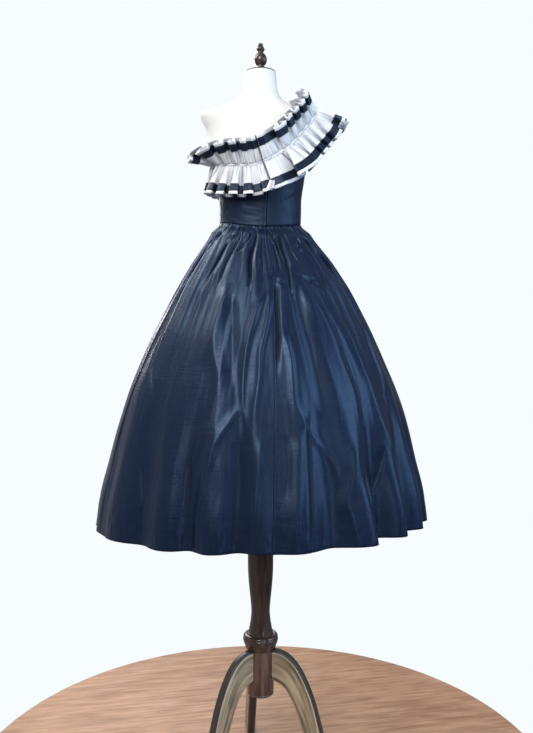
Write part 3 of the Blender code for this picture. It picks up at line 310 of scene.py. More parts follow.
# Ruffle waves from the centre back round to it again: share of the length, height of the wave
RUFFLE_WAVES = (
    (2.6, 0.20), (1.2, 1.30), (0.8, 1.00), (1.0, 1.10), (0.9, 0.90), (0.8, 1.00), (1.1, 1.15), (0.9, 0.95),
    (1.3, 0.80), (1.0, 1.00), (0.8, 1.10), (1.1, 0.90), (0.9, 1.05), (1.0, 1.00), (1.2, 0.85), (0.9, 1.10),
    (1.1, 0.95), (0.8, 1.00), (1.0, 1.10), (1.0, 0.90), (1.2, 1.05), (0.9, 1.00), (1.3, 0.95), (0.9, 1.10),
    (0.9, 0.90), (0.8, 1.00), (1.0, 0.85), (0.8, 0.40),
)

# Leg outline from the hub over the back of the arch to the foot, then up the inside: radius, height
LEG_OUTER_ROWS = ((0.030, 0.3255), (0.056, 0.3245), (0.082, 0.3140), (0.104, 0.2950), (0.123, 0.2680),
                  (0.138, 0.2390), (0.153, 0.2030), (0.167, 0.1580), (0.181, 0.1050), (0.207, 0.0000))
LEG_INNER_ROWS = ((0.030, 0.2440), (0.056, 0.2360), (0.075, 0.2230), (0.092, 0.1970), (0.107, 0.1650),
                  (0.120, 0.1290), (0.131, 0.0950), (0.157, 0.0000))

# Leg's cross-section from its outer edge, then from its inner edge:
# inset, half thickness, dark edge, worn line
LEG_HALF = LEG_THICKNESS / 2
LEG_OUTER_SECTION = (
    (0.0000, 0.000, 1.0, 0.0), (0.0000, 0.0050, 1.0, 0.0), (0.0002, 0.0080, 1.0, 0.0),
    (0.0010, 0.0098, 1.0, 0.0), (0.0028, 0.0110, 1.0, 0.0), (0.0056, 0.0118, 1.0, 0.1),
    (0.0066, 0.0121, 0.9, 1.0), (0.0074, 0.0124, 0.4, 0.9), (0.0084, LEG_HALF, 0.0, 0.1),
    (0.0110, LEG_HALF, 0.0, 0.0), (0.0200, LEG_HALF, 0.0, 0.0),
)
LEG_INNER_SECTION = (
    (0.0200, LEG_HALF, 0.0, 0.0), (0.0060, LEG_HALF, 0.0, 0.0), (0.0022, LEG_HALF, 0.3, 0.2),
    (0.0010, 0.0119, 0.7, 0.6), (0.0002, 0.0105, 1.0, 0.1), (0.0000, 0.0060, 1.0, 0.0),
    (0.0000, 0.0000, 1.0, 0.0),
)


def smooth_table(rows, value, column):
    """A table's column at a value of its first column, along a smooth curve that doesn't overshoot."""
    last = len(rows) - 1
    if value <= rows[0][0]:
        return rows[0][column]
    if value >= rows[last][0]:
        return rows[last][column]
    index = next(i for i in range(last) if value <= rows[i + 1][0])

    def slope(i):
        return (rows[i + 1][column] - rows[i][column]) / (rows[i + 1][0] - rows[i][0])

    def tangent(i):
        if i == 0:
            return slope(0)
        if i == last:
            return slope(last - 1)
        before, after = slope(i - 1), slope(i)
        if before * after <= 0:
            return 0.0
        return 2 * before * after / (before + after)

    span = rows[index + 1][0] - rows[index][0]
    share = (value - rows[index][0]) / span
    square, cube = share ** 2, share ** 3
    return ((2 * cube - 3 * square + 1) * rows[index][column]
            + (cube - 2 * square + share) * span * tangent(index)
            + (3 * square - 2 * cube) * rows[index + 1][column]
            + (cube - square) * span * tangent(index + 1))


def table_curve(rows, column):
    """A function that reads the same smooth column at whole arrays of values."""
    places = np.linspace(rows[0][0], rows[-1][0], 1600)
    values = np.array([smooth_table(rows, place, column) for place in places])
    return lambda value: np.interp(value, places, values)


def curve_through(rows, place):
    """The point of a smooth curve through a table's rows, at a place counted in rows."""
    last = len(rows) - 1
    index = min(max(int(math.floor(place)), 0), last - 1)
    share = place - index
    a = rows[max(index - 1, 0)]
    b = rows[index]
    c = rows[index + 1]
    d = rows[min(index + 2, last)]
    return [0.5 * (2 * q + (r - p) * share + (2 * p - 5 * q + 4 * r - s) * share ** 2
                   + (3 * q - p - 3 * r + s) * share ** 3) for p, q, r, s in zip(a, b, c, d)]


def sampled(rows, count):
    """Evenly placed points of the smooth curve through a table's rows, as an array."""
    return np.array([curve_through(rows, place) for place in np.linspace(0, len(rows) - 1, count)])


def smooth_step(value):
    """0 below 0, 1 above 1 and a smooth rise between."""
    value = np.clip(value, 0.0, 1.0)
    return value * value * (3 - 2 * value)


NOISE_LATTICE = np.random.default_rng(11).random((64, 64))


def lattice_noise(across, along, sharp=False):
    """Noise from 0 to 1 that repeats every 64 units; sharp noise is straight-sided across."""
    across, along = np.broadcast_arrays(across, along)
    left, low = np.floor(across).astype(int), np.floor(along).astype(int)
    right_share, up_share = across - left, smooth_step(along - low)
    if not sharp:
        right_share = smooth_step(right_share)

    def row(above):
        first, second = (NOISE_LATTICE[(left + i) % 64, (low + above) % 64] for i in (0, 1))
        return first * (1 - right_share) + second * right_share

    return row(0) * (1 - up_share) + row(1) * up_share


def crumple(across, along, size):
    """Long soft facets with creased borders, as crushed taffeta keeps them, from about -0.5 to 0.5."""
    across, along = np.broadcast_arrays(across / size, along / size)
    bent = across + 1.6 * lattice_noise(along * 0.30 + 5.0, across * 0.25)
    ridge = 1 - np.abs(2 * lattice_noise(bent, along * 0.28) - 1)
    return ridge - 0.5


def unit(vectors):
    """The vectors of an array at length 1."""
    return vectors / np.maximum(np.linalg.norm(vectors, axis=-1, keepdims=True), 1e-12)


def distances_along(points):
    """How far each point of a path lies from its start."""
    return np.concatenate([[0], np.cumsum(np.linalg.norm(np.diff(points, axis=0), axis=1))])


def read_at(places, distances, values):
    """A path's columns of values, read between its points."""
    return np.stack([np.interp(places, distances, column) for column in values.T], axis=-1)


def bump_at(value, centre, width, power=2):
    """1 at the centre, falling to 0 over the width on either side."""
    return np.exp(-(np.abs(value - centre) / width) ** power)


def points_of(x, y, z):
    """An array of points from their coordinates."""
    return np.stack(np.broadcast_arrays(x, y, z), axis=-1)


form_width = table_curve(FORM_ROWS, 1)
form_depth_back = table_curve(FORM_ROWS, 2)
form_depth_front = table_curve(FORM_ROWS, 3)
bell_width = table_curve(BELL_ROWS, 1)
bell_aside = table_curve(BELL_ROWS, 2)
gather_depth = table_curve(GATHER_ROWS, 1)


def form_depth(turn, height):
    """The form's depth behind or in front, by the turn in radians."""
    return np.where(np.sin(turn) > 0, form_depth_back(height), form_depth_front(height))


def form_points(angle, height):
    """Points of the dress form's surface."""
    turn = np.radians(angle)
    return points_of(form_width(height) * np.cos(turn), form_depth(turn, height) * np.sin(turn), height)


def form_normals(angle, height):
    """Outward normals of the dress form there."""
    across = form_points(angle + 0.5, height) - form_points(angle - 0.5, height)
    upward = form_points(angle, height + 0.0015) - form_points(angle, height - 0.0015)
    return unit(np.cross(across, upward))


def bodice_clearance(height):
    """How far the bodice's inside lies off the form."""
    return BODICE_CLEAR + STRAP_LIFT * smooth_step((height - STRAP_START) / STRAP_RISE)


def waist_height(angle):
    """Height of the waist seam, which dips at the centre back."""
    return WAIST_HEIGHT - WAIST_DIP_BACK * np.maximum(0.0, np.sin(np.radians(angle))) ** 2


def gather_angle(gather):
    """Angle of a gather at the waist."""
    turn = 2 * math.pi * gather / 9
    return 360.0 * gather / GATHERS + 1.7 * np.sin(turn) + 1.2 * np.sin(2 * turn) * np.cos(5 * turn / 4)


def crease_relief(across, along, scale, creases, falling):
    """Height of a table of creases at points given by angle and height; scale is metres a degree there."""
    relief = np.zeros(np.broadcast(across, along).shape)
    across, along, scale = np.broadcast_arrays(across, along, scale)
    for rise, before, after, line in creases:
        path = sampled(line, 40)
        if falling:
            start, end = path[0, 1], path[-1, 1]
            centre = np.interp(-along, -path[:, 1], path[:, 0])
            place = (start - along) / (start - end)
            away = (across - centre) * scale
            slant = np.gradient(path[:, 0]) * float(np.mean(scale)) / np.gradient(path[:, 1])
            lean = np.interp(-along, -path[:, 1], 1 / np.sqrt(1 + slant ** 2))
        else:
            start, end = path[0, 0], path[-1, 0]
            centre = np.interp(across, path[:, 0], path[:, 1])
            place = (across - start) / (end - start)
            away = along - centre
            lean = 1.0
        away = away * lean / np.where(away < 0, before, after) * 1000
        strength = smooth_step(place / 0.16) * smooth_step((1 - place) / 0.34)
        rounded = np.sqrt(away ** 2 + 0.03)
        tent = np.maximum(0.0, 1 - rounded / 1.55) ** 1.2
        relief += rise / 1000 * strength * (0.65 * tent + 0.35 * np.exp(-1.1 * rounded ** 1.24))
    return relief


def facets(across, along):
    """Flat-sided ridges of uneven height and width that run along the cloth, from about -0.5 to 0.5."""
    bent = across + 0.9 * lattice_noise(along * 1.3 + 9.0, across * 0.4)
    return lattice_noise(bent, along, sharp=True) - 0.5


def mirrored_angle(angle):
    """Angle on the back whose creases the front borrows, a little stretched and moved."""
    return (356.0 - 0.98 * angle) % 360.0


def skirt_base(gather, down):
    """Points of the skirt's outer face before its creases, with the angle round the bell."""
    waist_angle = gather_angle(gather)
    facing_back = np.maximum(0.0, np.sin(np.radians(waist_angle)))
    angle = waist_angle + CENTRE_BACK_DRIFT * facing_back ** 2 * down ** 0.55
    bell = bell_width(down)
    zip_calm = 1 - 0.8 * bump_at(gather, CENTRE_BACK_GATHER, 0.9) * (1 - smooth_step(down / 0.4))
    round_waist = 2 * math.pi * gather / GATHERS
    uneven = 1 + 0.35 * np.sin(5 * round_waist + 0.6) + 0.25 * np.sin(13 * round_waist + 2.0)
    held = 0.10 + 0.55 * lattice_noise(gather * 0.31 + 3.0, 6.5)
    swell = held * gather_depth(down) * uneven * zip_calm * (1 + np.cos(2 * math.pi * gather))
    for hem_angle, start_angle, start, ridge, half_width in FOLD_ROWS:
        grown = smooth_step((down - start) / (1 - start))
        centre = start_angle + (hem_angle - start_angle) * (down - start) / (1 - start)
        away = (angle - centre + 180.0) % 360.0 - 180.0
        swell = swell + ridge * grown * bump_at(away, 0, half_width)
    turn = np.radians(angle)
    top = waist_height(waist_angle)
    height = top + (HEM_HEIGHT - top) * down
    fitted = 1 - smooth_step(down / 0.03)
    snug = BODICE_CLEAR + WALL
    width = bell + (form_width(height) + snug - bell) * fitted
    depth = SKIRT_DEPTH_RATIO * bell + (form_depth(turn, height) + snug - SKIRT_DEPTH_RATIO * bell) * fitted
    points = points_of((width + swell) * np.cos(turn) - bell_aside(down),
                       (depth + SKIRT_DEPTH_RATIO * swell) * np.sin(turn), height)
    return points, angle


def fine_gathers(gather, down):
    """Uneven pleats that the waist seam holds, which run out at different lengths."""
    turn = 2 * math.pi * gather / GATHERS
    place = 1.25 * gather + 0.7 * np.sin(7 * turn) + 0.5 * np.sin(17 * turn + 1.0)
    index = np.floor(place)
    share = place - index
    length = 0.025 + 0.14 * lattice_noise(index * 3.7, 2.5) ** 2
    height = 0.0013 + 0.0044 * lattice_noise(index * 5.3, 7.5)
    calm = 1 - 0.9 * bump_at(gather, CENTRE_BACK_GATHER, 0.30)
    strength = smooth_step(down / 0.008) * (1 - smooth_step((down - 0.004) / length)) * calm
    skew = share ** (0.65 + 0.9 * lattice_noise(index * 2.9, 11.5))
    return height * strength * (np.sin(math.pi * skew) ** 0.8 - 0.6)


def placket_relief(beside, height):
    """The raised strip over the zip, its two stitched grooves and the slot between its edges."""
    strip = 0.0008 * bump_at(beside, 0, PLACKET_STRIP_HALF, 6)
    grooves = bump_at(np.abs(beside), PLACKET_HALF, 0.0010)
    pulled = 0.6 + 0.8 * lattice_noise(height * 190, 3.5 + np.sign(beside))
    return strip - 0.0012 * grooves * pulled - 0.0012 * bump_at(beside, 0, 0.0012)


def hem_puckers(angle, down):
    """The slight pucker of the hand-sewn hem, nine centimetres above the edge."""
    ripple = bump_at(down, 0.955, 0.040) * (lattice_noise(angle * 0.9, down * 30) - 0.5)
    uneven = 0.4 + lattice_noise(angle * 0.13, 3.0)
    return (-0.0005 * bump_at(down, HEM_ROW, 0.004) + 0.0016 * ripple) * uneven


def skirt_points(gather, down):
    """Points of the skirt's outer face with gathers, creases and hem."""
    base, angle = skirt_base(gather, down)
    beside = skirt_base(gather + 0.03, down)[0] - skirt_base(gather - 0.03, down)[0]
    above, below = np.maximum(down - 0.004, 0), np.minimum(down + 0.004, 1)
    upward = skirt_base(gather, above)[0] - skirt_base(gather, below)[0]
    normal = np.cross(beside, upward)
    normal[..., 2] *= smooth_step(down / 0.02)
    normal = unit(normal)
    turn = np.radians(angle)
    bell = bell_width(down)
    across_back, across_side = bell * np.sin(turn), SKIRT_DEPTH_RATIO * bell * np.cos(turn)
    scale = np.sqrt(across_back ** 2 + across_side ** 2) * math.radians(1)
    relief = fine_gathers(gather, down) + hem_puckers(angle, down)
    away_from_seams = np.abs((gather - SEAM_LEFT_GATHER + 8) % 20 - 8)
    spread = smooth_step((down - 0.02) / 0.2) * smooth_step(away_from_seams / 0.5)
    large = 0.0045 * facets(gather * 1.1, down * 3.4)
    middle = 0.0018 * facets(gather * 3.1 + 5.5, down * 6.0)
    relief = relief + spread * (large + middle + 0.0007 * facets(gather * 7.3 + 2.5, down * 13.0))
    height = base[..., 2]
    calmer_below = CREASES_ABOVE - (CREASES_ABOVE - CREASES_BELOW) * smooth_step((down - 0.30) / 0.35)
    for view_angle in (angle % 360.0, mirrored_angle(angle)):
        relief = relief + calmer_below * crease_relief(view_angle, height, scale, FALLING_CREASES, True)
        across = crease_relief(view_angle, height, scale, CROSSING_CREASES, False)
        relief = relief + CROSSING_STRENGTH * across
    beside_zip = (gather - CENTRE_BACK_GATHER) * 360 / GATHERS * scale
    over_zip = smooth_step((height - ZIP_END) / 0.012)
    relief = relief + over_zip * placket_relief(beside_zip, height)
    return base + normal * relief[..., None], normal, relief


def grid_mesh(name, points, closed=False, flipped=False):
    """A mesh from a grid of points, columns first; its UVs are metres along and down the cloth."""
    columns, rows = points.shape[:2]
    count = columns if closed else columns - 1
    here = np.arange(count)[:, None] * rows + np.arange(rows - 1)[None, :]
    ahead = (np.arange(count)[:, None] + 1) % columns * rows + np.arange(rows - 1)[None, :]
    quads = np.stack([here, here + 1, ahead + 1, ahead], axis=-1).reshape(-1, 4)
    if flipped:
        quads = quads[:, ::-1]
    mesh = bpy.data.meshes.new(name)
    mesh.from_pydata(points.reshape(-1, 3).tolist(), [], quads.tolist())
    across, down = distances_along(points[:, rows // 2]), distances_along(points[columns // 2])
    place = np.stack(np.meshgrid(across, down, indexing="ij"), axis=-1).reshape(-1, 2)
    layer = mesh.uv_layers.new(name="UVMap")
    layer.data.foreach_set("uv", place[quads.reshape(-1)].astype(np.float32).ravel())
    mesh.shade_smooth()
    return mesh


def scene_object(name, data):
    """A new object in the scene."""
    item = bpy.data.objects.new(name, data)
    bpy.context.scene.collection.objects.link(item)
    return item


def add_piece(name, mesh, material, replaced=()):
    """A finished piece of the object, riding on the dress and its stand."""
    item = scene_object(name, mesh)
    mesh.materials.append(material)
    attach(item, DRESS_BODY)
    if replaced:
        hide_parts(*replaced)
    return item


def blurred(values, reach):
    """The mean of each value of a grid with its neighbours up to reach columns away."""
    padded = np.pad(values, ((reach, reach), (0, 0)), mode="edge")
    total = np.cumsum(np.vstack([np.zeros((1, values.shape[1])), padded]), axis=0)
    return (total[2 * reach + 1:] - total[:-2 * reach - 1]) / (2 * reach + 1)


def painted_crease_shade(relief, reach, depth):
    """Painted shade for creases, 0 to 1: how deep each point lies below the cloth round it, where 1 is a
    depth in metres or more.
    """
    lower = blurred(blurred(relief, reach), reach) - relief
    return smooth_step(lower / depth)


def point_attribute(mesh, name, values):
    """Writes one number for each point of the mesh, for its material to read."""
    layer = mesh.attributes.new(name, "FLOAT", "POINT")
    layer.data.foreach_set("value", np.asarray(values, dtype=np.float32).ravel())


def cloth_piece(name, points, material, replaced=(), flipped=False, thickness=CLOTH, painted_shade=0.0):
    """A thin shell of cloth whose outer face is the grid; the painted shade of its folds rides on an
    attribute.
    """
    item = add_piece(name, grid_mesh(name, points, flipped=flipped), material, replaced)
    point_attribute(item.data, "painted_shade", np.broadcast_to(painted_shade, points.shape[:2]))
    shell = item.modifiers.new("cloth", "SOLIDIFY")
    shell.thickness = thickness
    shell.offset = -1
    return item


def tuck_edges(points, normals, depth, last=True):
    """Turns the end columns of a panel inward, so that two panels meet in a seam."""
    points[0] -= normals[0] * depth
    if last:
        points[-1] -= normals[-1] * depth


def make_skirt(cloth):
    """The skirt's front, left back and right back."""
    pieces = {}
    for name, first, last, columns, rows in (
            ("skirt_back_left", SEAM_LEFT_GATHER, CENTRE_BACK_GATHER, 210, 164),
            ("skirt_back_right", CENTRE_BACK_GATHER, SEAM_RIGHT_GATHER, 210, 164),
            ("skirt_front", SEAM_RIGHT_GATHER, SEAM_LEFT_GATHER + GATHERS, 290, 118)):
        inner = np.linspace(first + 0.035, last - 0.035, columns - 4)
        ends = [first + 0.001, first + 0.013], [last - 0.013, last - 0.001]
        gather = np.concatenate([ends[0], inner, ends[1]])[:, None]
        down = (np.linspace(0, 1, rows) ** 1.25)[None, :]
        points, normals, relief = skirt_points(gather, down)
        tuck_edges(points, normals, SKIRT_SEAM_TUCK, last=name != "skirt_back_left")
        points[:, 0, 2] -= SEAT_GAP
        points[:, 0] -= normals[:, 0] * 0.0006
        # painted shade: the cloth is coloured darker where it lies below the cloth round it
        pieces[name] = cloth_piece(name + "_cloth", points, cloth, [name],
                                   painted_shade=painted_crease_shade(relief, 3, 0.0013 + 0.0017 * smooth_step(down / 0.3)))
    return pieces


def bodice_surface(angle, height, normal):
    """Points of the bodice's outer face there, and its relief."""
    width = form_width(height)
    turned_angle = (angle - 5.0) % 360.0 + 5.0
    relief = crease_relief(turned_angle, height, width * math.radians(1), BODICE_WRINKLES, False)
    round_body = turned_angle * math.radians(1) * width
    relief = relief + 0.0008 * crumple(height * 1.25 + 0.5, round_body * 0.8, 0.026)
    relief = relief + 0.0006 * crumple(height * 0.9 + 0.35 * round_body, round_body, 0.011)
    from_back = angle - 90.0 - 360.0 * (angle > 270.0)
    relief = relief + placket_relief(from_back * width * math.radians(1), height)
    seam_pucker = bump_at(height, waist_height(angle), 0.010)
    relief = relief + 0.0012 * seam_pucker * (lattice_noise(turned_angle * 0.35, 2.5) - 0.5)
    lift = bodice_clearance(height) + WALL + relief
    return form_points(angle, height) + normal * lift[..., None], relief


def bodice_grid(spot, columns, rows):
    """Points and normals of a bodice panel; spot gives the angle and height for shares across and up."""
    angle, height = np.zeros((columns, rows)), np.zeros((columns, rows))
    for i, across in enumerate(np.linspace(0, 1, columns)):
        for j, upward in enumerate(np.linspace(0, 1, rows)):
            angle[i, j], height[i, j] = spot(across, upward)
    height[:, 0] = waist_height(angle[:, 0])
    normal = form_normals(angle, height)
    normal[:, 0, 2] = 0
    normal = unit(normal)
    points, relief = bodice_surface(angle, height, normal)
    points[:, 0] -= normal[:, 0] * 0.0009
    return points, normal, relief


def make_bodice(cloth):
    """The three bodice panels: front, and a left and a right back that meet at the zip."""
    right_seam = float(gather_angle(SEAM_RIGHT_GATHER))
    side_top = ARMHOLE_BACK_ROWS[0][1]
    left_start = UNDERARM_STATION + SIDE_SEAM_SHIFT
    last_station = len(NECKLINE_ROWS) - 1

    def neckline(place):
        return curve_through(NECKLINE_ROWS, place)[:2]

    def armhole(rows):
        return lambda share: curve_through(rows, share * (len(rows) - 1))

    def rising(angle, top, share):
        foot = float(waist_height(angle))
        return angle, foot + (top - foot) * share

    def two_part(upward, angle, top, upper):
        if upward <= EDGE_BREAK:
            return rising(angle, top, upward / EDGE_BREAK)
        return upper((upward - EDGE_BREAK) / (1 - EDGE_BREAK))

    def between(first, last, across):
        return [a + (b - a) * across for a, b in zip(first, last)]

    def back_right(across, upward):
        first = two_part(upward, *NECKLINE_ROWS[0][:2], lambda s: neckline(SHOULDER_STATION * s))
        last = two_part(upward, right_seam, side_top, armhole(ARMHOLE_BACK_ROWS))
        return between(first, last, across)

    def front(across, upward):
        first = two_part(upward, right_seam, side_top, armhole(ARMHOLE_FRONT_ROWS))
        last = two_part(upward, *neckline(left_start),
                        lambda s: neckline(left_start + (SHOULDER_STATION - left_start) * s))
        return between(first, last, across)

    def back_left(across, upward):
        angle, top = neckline(left_start + (last_station - left_start) * across)
        return rising(angle, top, upward)

    pieces = {}
    for name, spot, columns, rows in (("bodice_back_right", back_right, 80, 90),
                                      ("bodice_front", front, 130, 80),
                                      ("bodice_back_left", back_left, 80, 70)):
        points, normals, relief = bodice_grid(spot, columns, rows)
        tuck_edges(points, normals, BODICE_SEAM_TUCK)
        # painted shade: the cloth is coloured darker where it lies below the cloth round it
        pieces[name] = cloth_piece(name + "_cloth", points, cloth, [name], flipped=True,
                                   painted_shade=painted_crease_shade(relief, 3, 0.0012))
    return pieces


class RuffleLine:
    """The line that the ruffle is stitched on, just below the bodice's top edge, by distance along it."""

    def __init__(self):
        count = (len(NECKLINE_ROWS) - 1) * 24
        rows = sampled(NECKLINE_ROWS, count + 1)
        edge = form_points(rows[:, 0], rows[:, 1])
        self.leans = rows[:, 2:4]
        self.normals = self.smoothed(form_normals(rows[:, 0], rows[:, 1]), 14)
        ring = np.arange(count + 1)
        ahead = edge[(ring + 3) % count] - edge[(ring - 3) % count]
        self.downs = self.smoothed(unit(np.cross(ahead, self.normals)), 40)
        self.points = edge + self.downs * RUFFLE_BELOW_EDGE
        self.distances = distances_along(self.points)
        self.length = self.distances[-1]

    @staticmethod
    def smoothed(vectors, reach):
        """Each vector of a closed ring averaged with its neighbours up to reach samples away."""
        ring = vectors[:-1]
        steps = range(-reach, reach + 1)
        ring = unit(sum(np.roll(ring, -step, axis=0) * (reach + 1 - abs(step)) for step in steps))
        return np.concatenate([ring, ring[:1]])

    def at(self, distance):
        """Points, outward directions, downward directions and the two leans at distances."""
        distance = distance % self.length
        point, normal, down, leans = (read_at(distance, self.distances, values)
                                      for values in (self.points, self.normals, self.downs, self.leans))
        normal = unit(normal)
        down = unit(down - normal * np.sum(down * normal, axis=-1, keepdims=True))
        return point, normal, down, leans


RUFFLE_LINE = RuffleLine()
WAVE_WIDTHS = np.array([width for width, height in RUFFLE_WAVES])
WAVE_HEIGHTS = np.array([height for width, height in RUFFLE_WAVES] + [RUFFLE_WAVES[-1][1]])
WAVE_STARTS = np.concatenate([[0], np.cumsum(WAVE_WIDTHS)]) / WAVE_WIDTHS.sum()
WAVE_COUNT = len(RUFFLE_WAVES)


def pleat_relief(wave, reach):
    """The puffs and sharp grooves that fan out from the stitching, and its raised casing; also the painted
    shade in the grooves and beside the casing, and a painted shadow on the end that lies under the start.
    """
    size = np.abs(reach)
    frill = np.where(reach < 0, 31.0, 0.0)
    place = 4.0 * wave + 0.55 * np.sin(2.3 * wave + frill) + 0.35 * np.sin(5.1 * wave + frill)
    place = place + (lattice_noise(wave * 1.3 + frill, 4.5) - 0.5) * size * 26
    index = np.floor(place)
    share = place - index
    skew = share ** (0.55 + 1.1 * lattice_noise(index * 2.9 + frill, 3.5))
    puff = np.sin(math.pi * skew) ** 0.45
    height = 0.0036 + 0.0060 * lattice_noise(index * 4.3 + frill, 8.5)
    length = 0.020 + 0.055 * lattice_noise(index * 3.1 + frill, 14.5)
    fades = 1 - smooth_step((size - 0.014) / length) * 0.78
    strength = smooth_step((size - 0.0026) / 0.004) * fades
    strength = strength * (0.30 + 0.70 * smooth_step((wave - 0.10) / 0.9))
    casing = 0.0034 * bump_at(reach, 0, 0.0027, 4) * (1 + 0.22 * np.sin(2 * math.pi * 2.5 * place))
    crushed = 0.0022 * crumple(wave * 0.037 + frill, reach, 0.014) * smooth_step(size / 0.02)
    # painted shade in the grooves between the puffs
    painted_shade = strength * smooth_step((0.58 - puff) / 0.4) * (0.60 + 90 * (height - 0.0036))
    small = np.abs(np.sin(math.pi * 2.3 * place)) ** 0.6
    near = smooth_step((size - 0.0030) / 0.003) * bump_at(size, 0, 0.019)
    # painted shade in the small grooves near the stitching
    painted_shade = painted_shade + 0.45 * near * smooth_step((0.60 - small) / 0.4)
    crushed = crushed + 0.0013 * near * small
    # painted shade beside the casing, and a painted shadow on the ruffle's end where it lies under its start
    painted_shade = painted_shade + 0.35 * bump_at(size, 0.0042, 0.0012) + smooth_step((wave - HIDDEN_WAVE) / 0.2)
    return height * strength * (puff - 0.55) + casing + crushed, painted_shade


def ruffle_points(wave, reach, lift=0.0):
    """Points of the ruffle's outer face and its painted shade, in its grooves and on the inner faces of its
    waves.

    The wave is counted along the ruffle, and the reach below the stitching, or above it when negative.
    """
    wave, reach = np.broadcast_arrays(wave, reach)
    index = np.clip(np.floor(wave).astype(int), 0, WAVE_COUNT - 1)
    share = wave - index
    span = WAVE_STARTS[index + 1] - WAVE_STARTS[index]
    follower = WAVE_HEIGHTS[np.minimum(index + 1, WAVE_COUNT - 1)]
    height = WAVE_HEIGHTS[index] + (follower - WAVE_HEIGHTS[index]) * smooth_step(share)
    height = height + np.where(reach > 0, 0.9, 0.2) * bump_at(wave, 1.0, 0.45)
    height = height * smooth_step(wave / 0.8) * smooth_step((WAVE_COUNT - wave) / 1.3)
    above = reach < 0
    edge = np.where(above, UPPER_FRILL, LOWER_FRILL)
    edge_wave = np.where(above, WAVE_AT_UPPER_EDGE, WAVE_AT_LOWER_EDGE)
    grown = (np.abs(reach) / edge) ** 0.8
    swing = (WAVE_AT_STITCHING + (edge_wave - WAVE_AT_STITCHING) * grown) * height
    overhang = WAVE_OVERHANG * height * grown * np.sin(4 * math.pi * share)
    along = WAVE_STARTS[index] + span * (share + overhang)
    distance = -RUFFLE_OVERLAP + along * (RUFFLE_LINE.length + RUFFLE_OVERLAP)
    point, normal, down, leans = RUFFLE_LINE.at(distance)
    over = 1 - smooth_step((distance - 0.02) / 0.05)
    clear = bodice_clearance(point[..., 2]) + WALL + RUFFLE_CLEAR + 0.0012 + WAVE_AT_STITCHING * height
    clear = clear + RUFFLE_OVER_LIFT * over
    half_way = RUFFLE_LINE.length / 2
    from_zip = np.mod(distance + half_way, RUFFLE_LINE.length) - half_way
    clear = clear + PULL_ROOM * bump_at(from_zip, 0, 0.020) * smooth_step(reach / 0.025)
    clear = clear + RUFFLE_SHOULDER_EASE * smooth_step((point[..., 2] - SHOULDER_START) / 0.030)
    lean = np.radians(np.where(above, leans[..., 1], leans[..., 0]))[..., None]
    side = np.where(above, -1.0, 1.0)[..., None]
    runs = down * side * np.cos(lean) + normal * np.sin(lean)
    lifts = normal * np.cos(lean) - down * side * np.sin(lean)
    box = np.tanh(WAVE_SQUARENESS * np.cos(2 * math.pi * share)) / math.tanh(WAVE_SQUARENESS)
    pleats, painted_shade = pleat_relief(wave, reach)
    # painted shade on the inner faces of the waves, where they turn in
    turned_in_shade = 0.75 * grown * height * smooth_step((0.25 - box) / 1.1)
    raised = swing * box + pleats
    points = point + normal * clear[..., None] + runs * np.abs(reach)[..., None] + lifts * raised[..., None]
    if lift:
        points = points + grid_normals(points) * lift
    return points, np.clip(painted_shade + turned_in_shade, 0.0, 1.0)


def grid_normals(points):
    """Outward normals of a grid whose columns run round the body and whose rows run down."""
    return unit(np.cross(np.gradient(points, axis=1), np.gradient(points, axis=0)))


def make_ruffle(white, ribbon):
    """The double-edged ruffle and the two ribbon bands sewn on it."""
    waves = np.linspace(0, WAVE_COUNT - 1e-4, WAVE_COUNT * 36 + 1)[:, None]
    upper = np.linspace(-UPPER_FRILL, -0.0055, 13)
    middle = np.linspace(-0.0042, 0.0042, 8)
    lower = np.linspace(0.0055, LOWER_FRILL, 15)
    reaches = np.concatenate([upper, middle, lower])[None, :]
    points, painted_shade = ruffle_points(waves, reaches)
    pieces = {"ruffle": cloth_piece("ruffle_cloth", points, white, ["ruffle"],
                                    painted_shade=painted_shade)}
    for name, start, end in (
            ("ruffle_band_upper", BAND_MARGIN - UPPER_FRILL, BAND_MARGIN + BAND_WIDTH - UPPER_FRILL),
            ("ruffle_band_lower", LOWER_FRILL - BAND_MARGIN - BAND_WIDTH, LOWER_FRILL - BAND_MARGIN)):
        # the ribbons carry painted shade from the same pleats and waves
        grid, painted_shade = ruffle_points(waves, np.linspace(start, end, 9)[None, :], lift=BAND_LIFT)
        pieces[name] = cloth_piece(name + "_ribbon", grid, ribbon, [name], thickness=RIBBON,
                                   painted_shade=painted_shade)
    return pieces


def capsules(name, centres, directions, normals, size, material, slot=None):
    """One mesh of small rounded bars: size is their length, width and height."""
    length, width, height = size
    aside = unit(np.cross(directions, normals))
    ring = [(along, *corner) for along in (-0.34, 0.34) for corner in ((1, 0), (0, 1), (-1, 0), (0, -1))]
    corners = [(-0.5, 0, 0), *ring, (0.5, 0, 0)]
    points = np.stack([centres + directions * (length * along) + aside * (width / 2 * across)
                       + normals * (height / 2 * upward) for along, across, upward in corners], axis=1)
    faces = []
    for i in range(4):
        after = (i + 1) % 4
        faces += [(0, 1 + after, 1 + i), (1 + i, 1 + after, 5 + after, 5 + i), (9, 5 + i, 5 + after)]
    count = len(corners)
    starts = range(0, count * len(centres), count)
    every_face = [tuple(start + corner for corner in face) for start in starts for face in faces]
    mesh = bpy.data.meshes.new(name)
    mesh.from_pydata(points.reshape(-1, 3).tolist(), [], every_face)
    mesh.shade_smooth()
    return add_piece(name, mesh, material)


def along_path(path, normals, pitch):
    """Evenly spaced places on a path with their directions and normals."""
    distances = distances_along(path)
    places = np.arange(pitch / 2, distances[-1], pitch)
    centres, directions, normals = (read_at(places, distances, values)
                                    for values in (path, np.gradient(path, axis=0), normals))
    return centres, unit(directions), unit(normals)


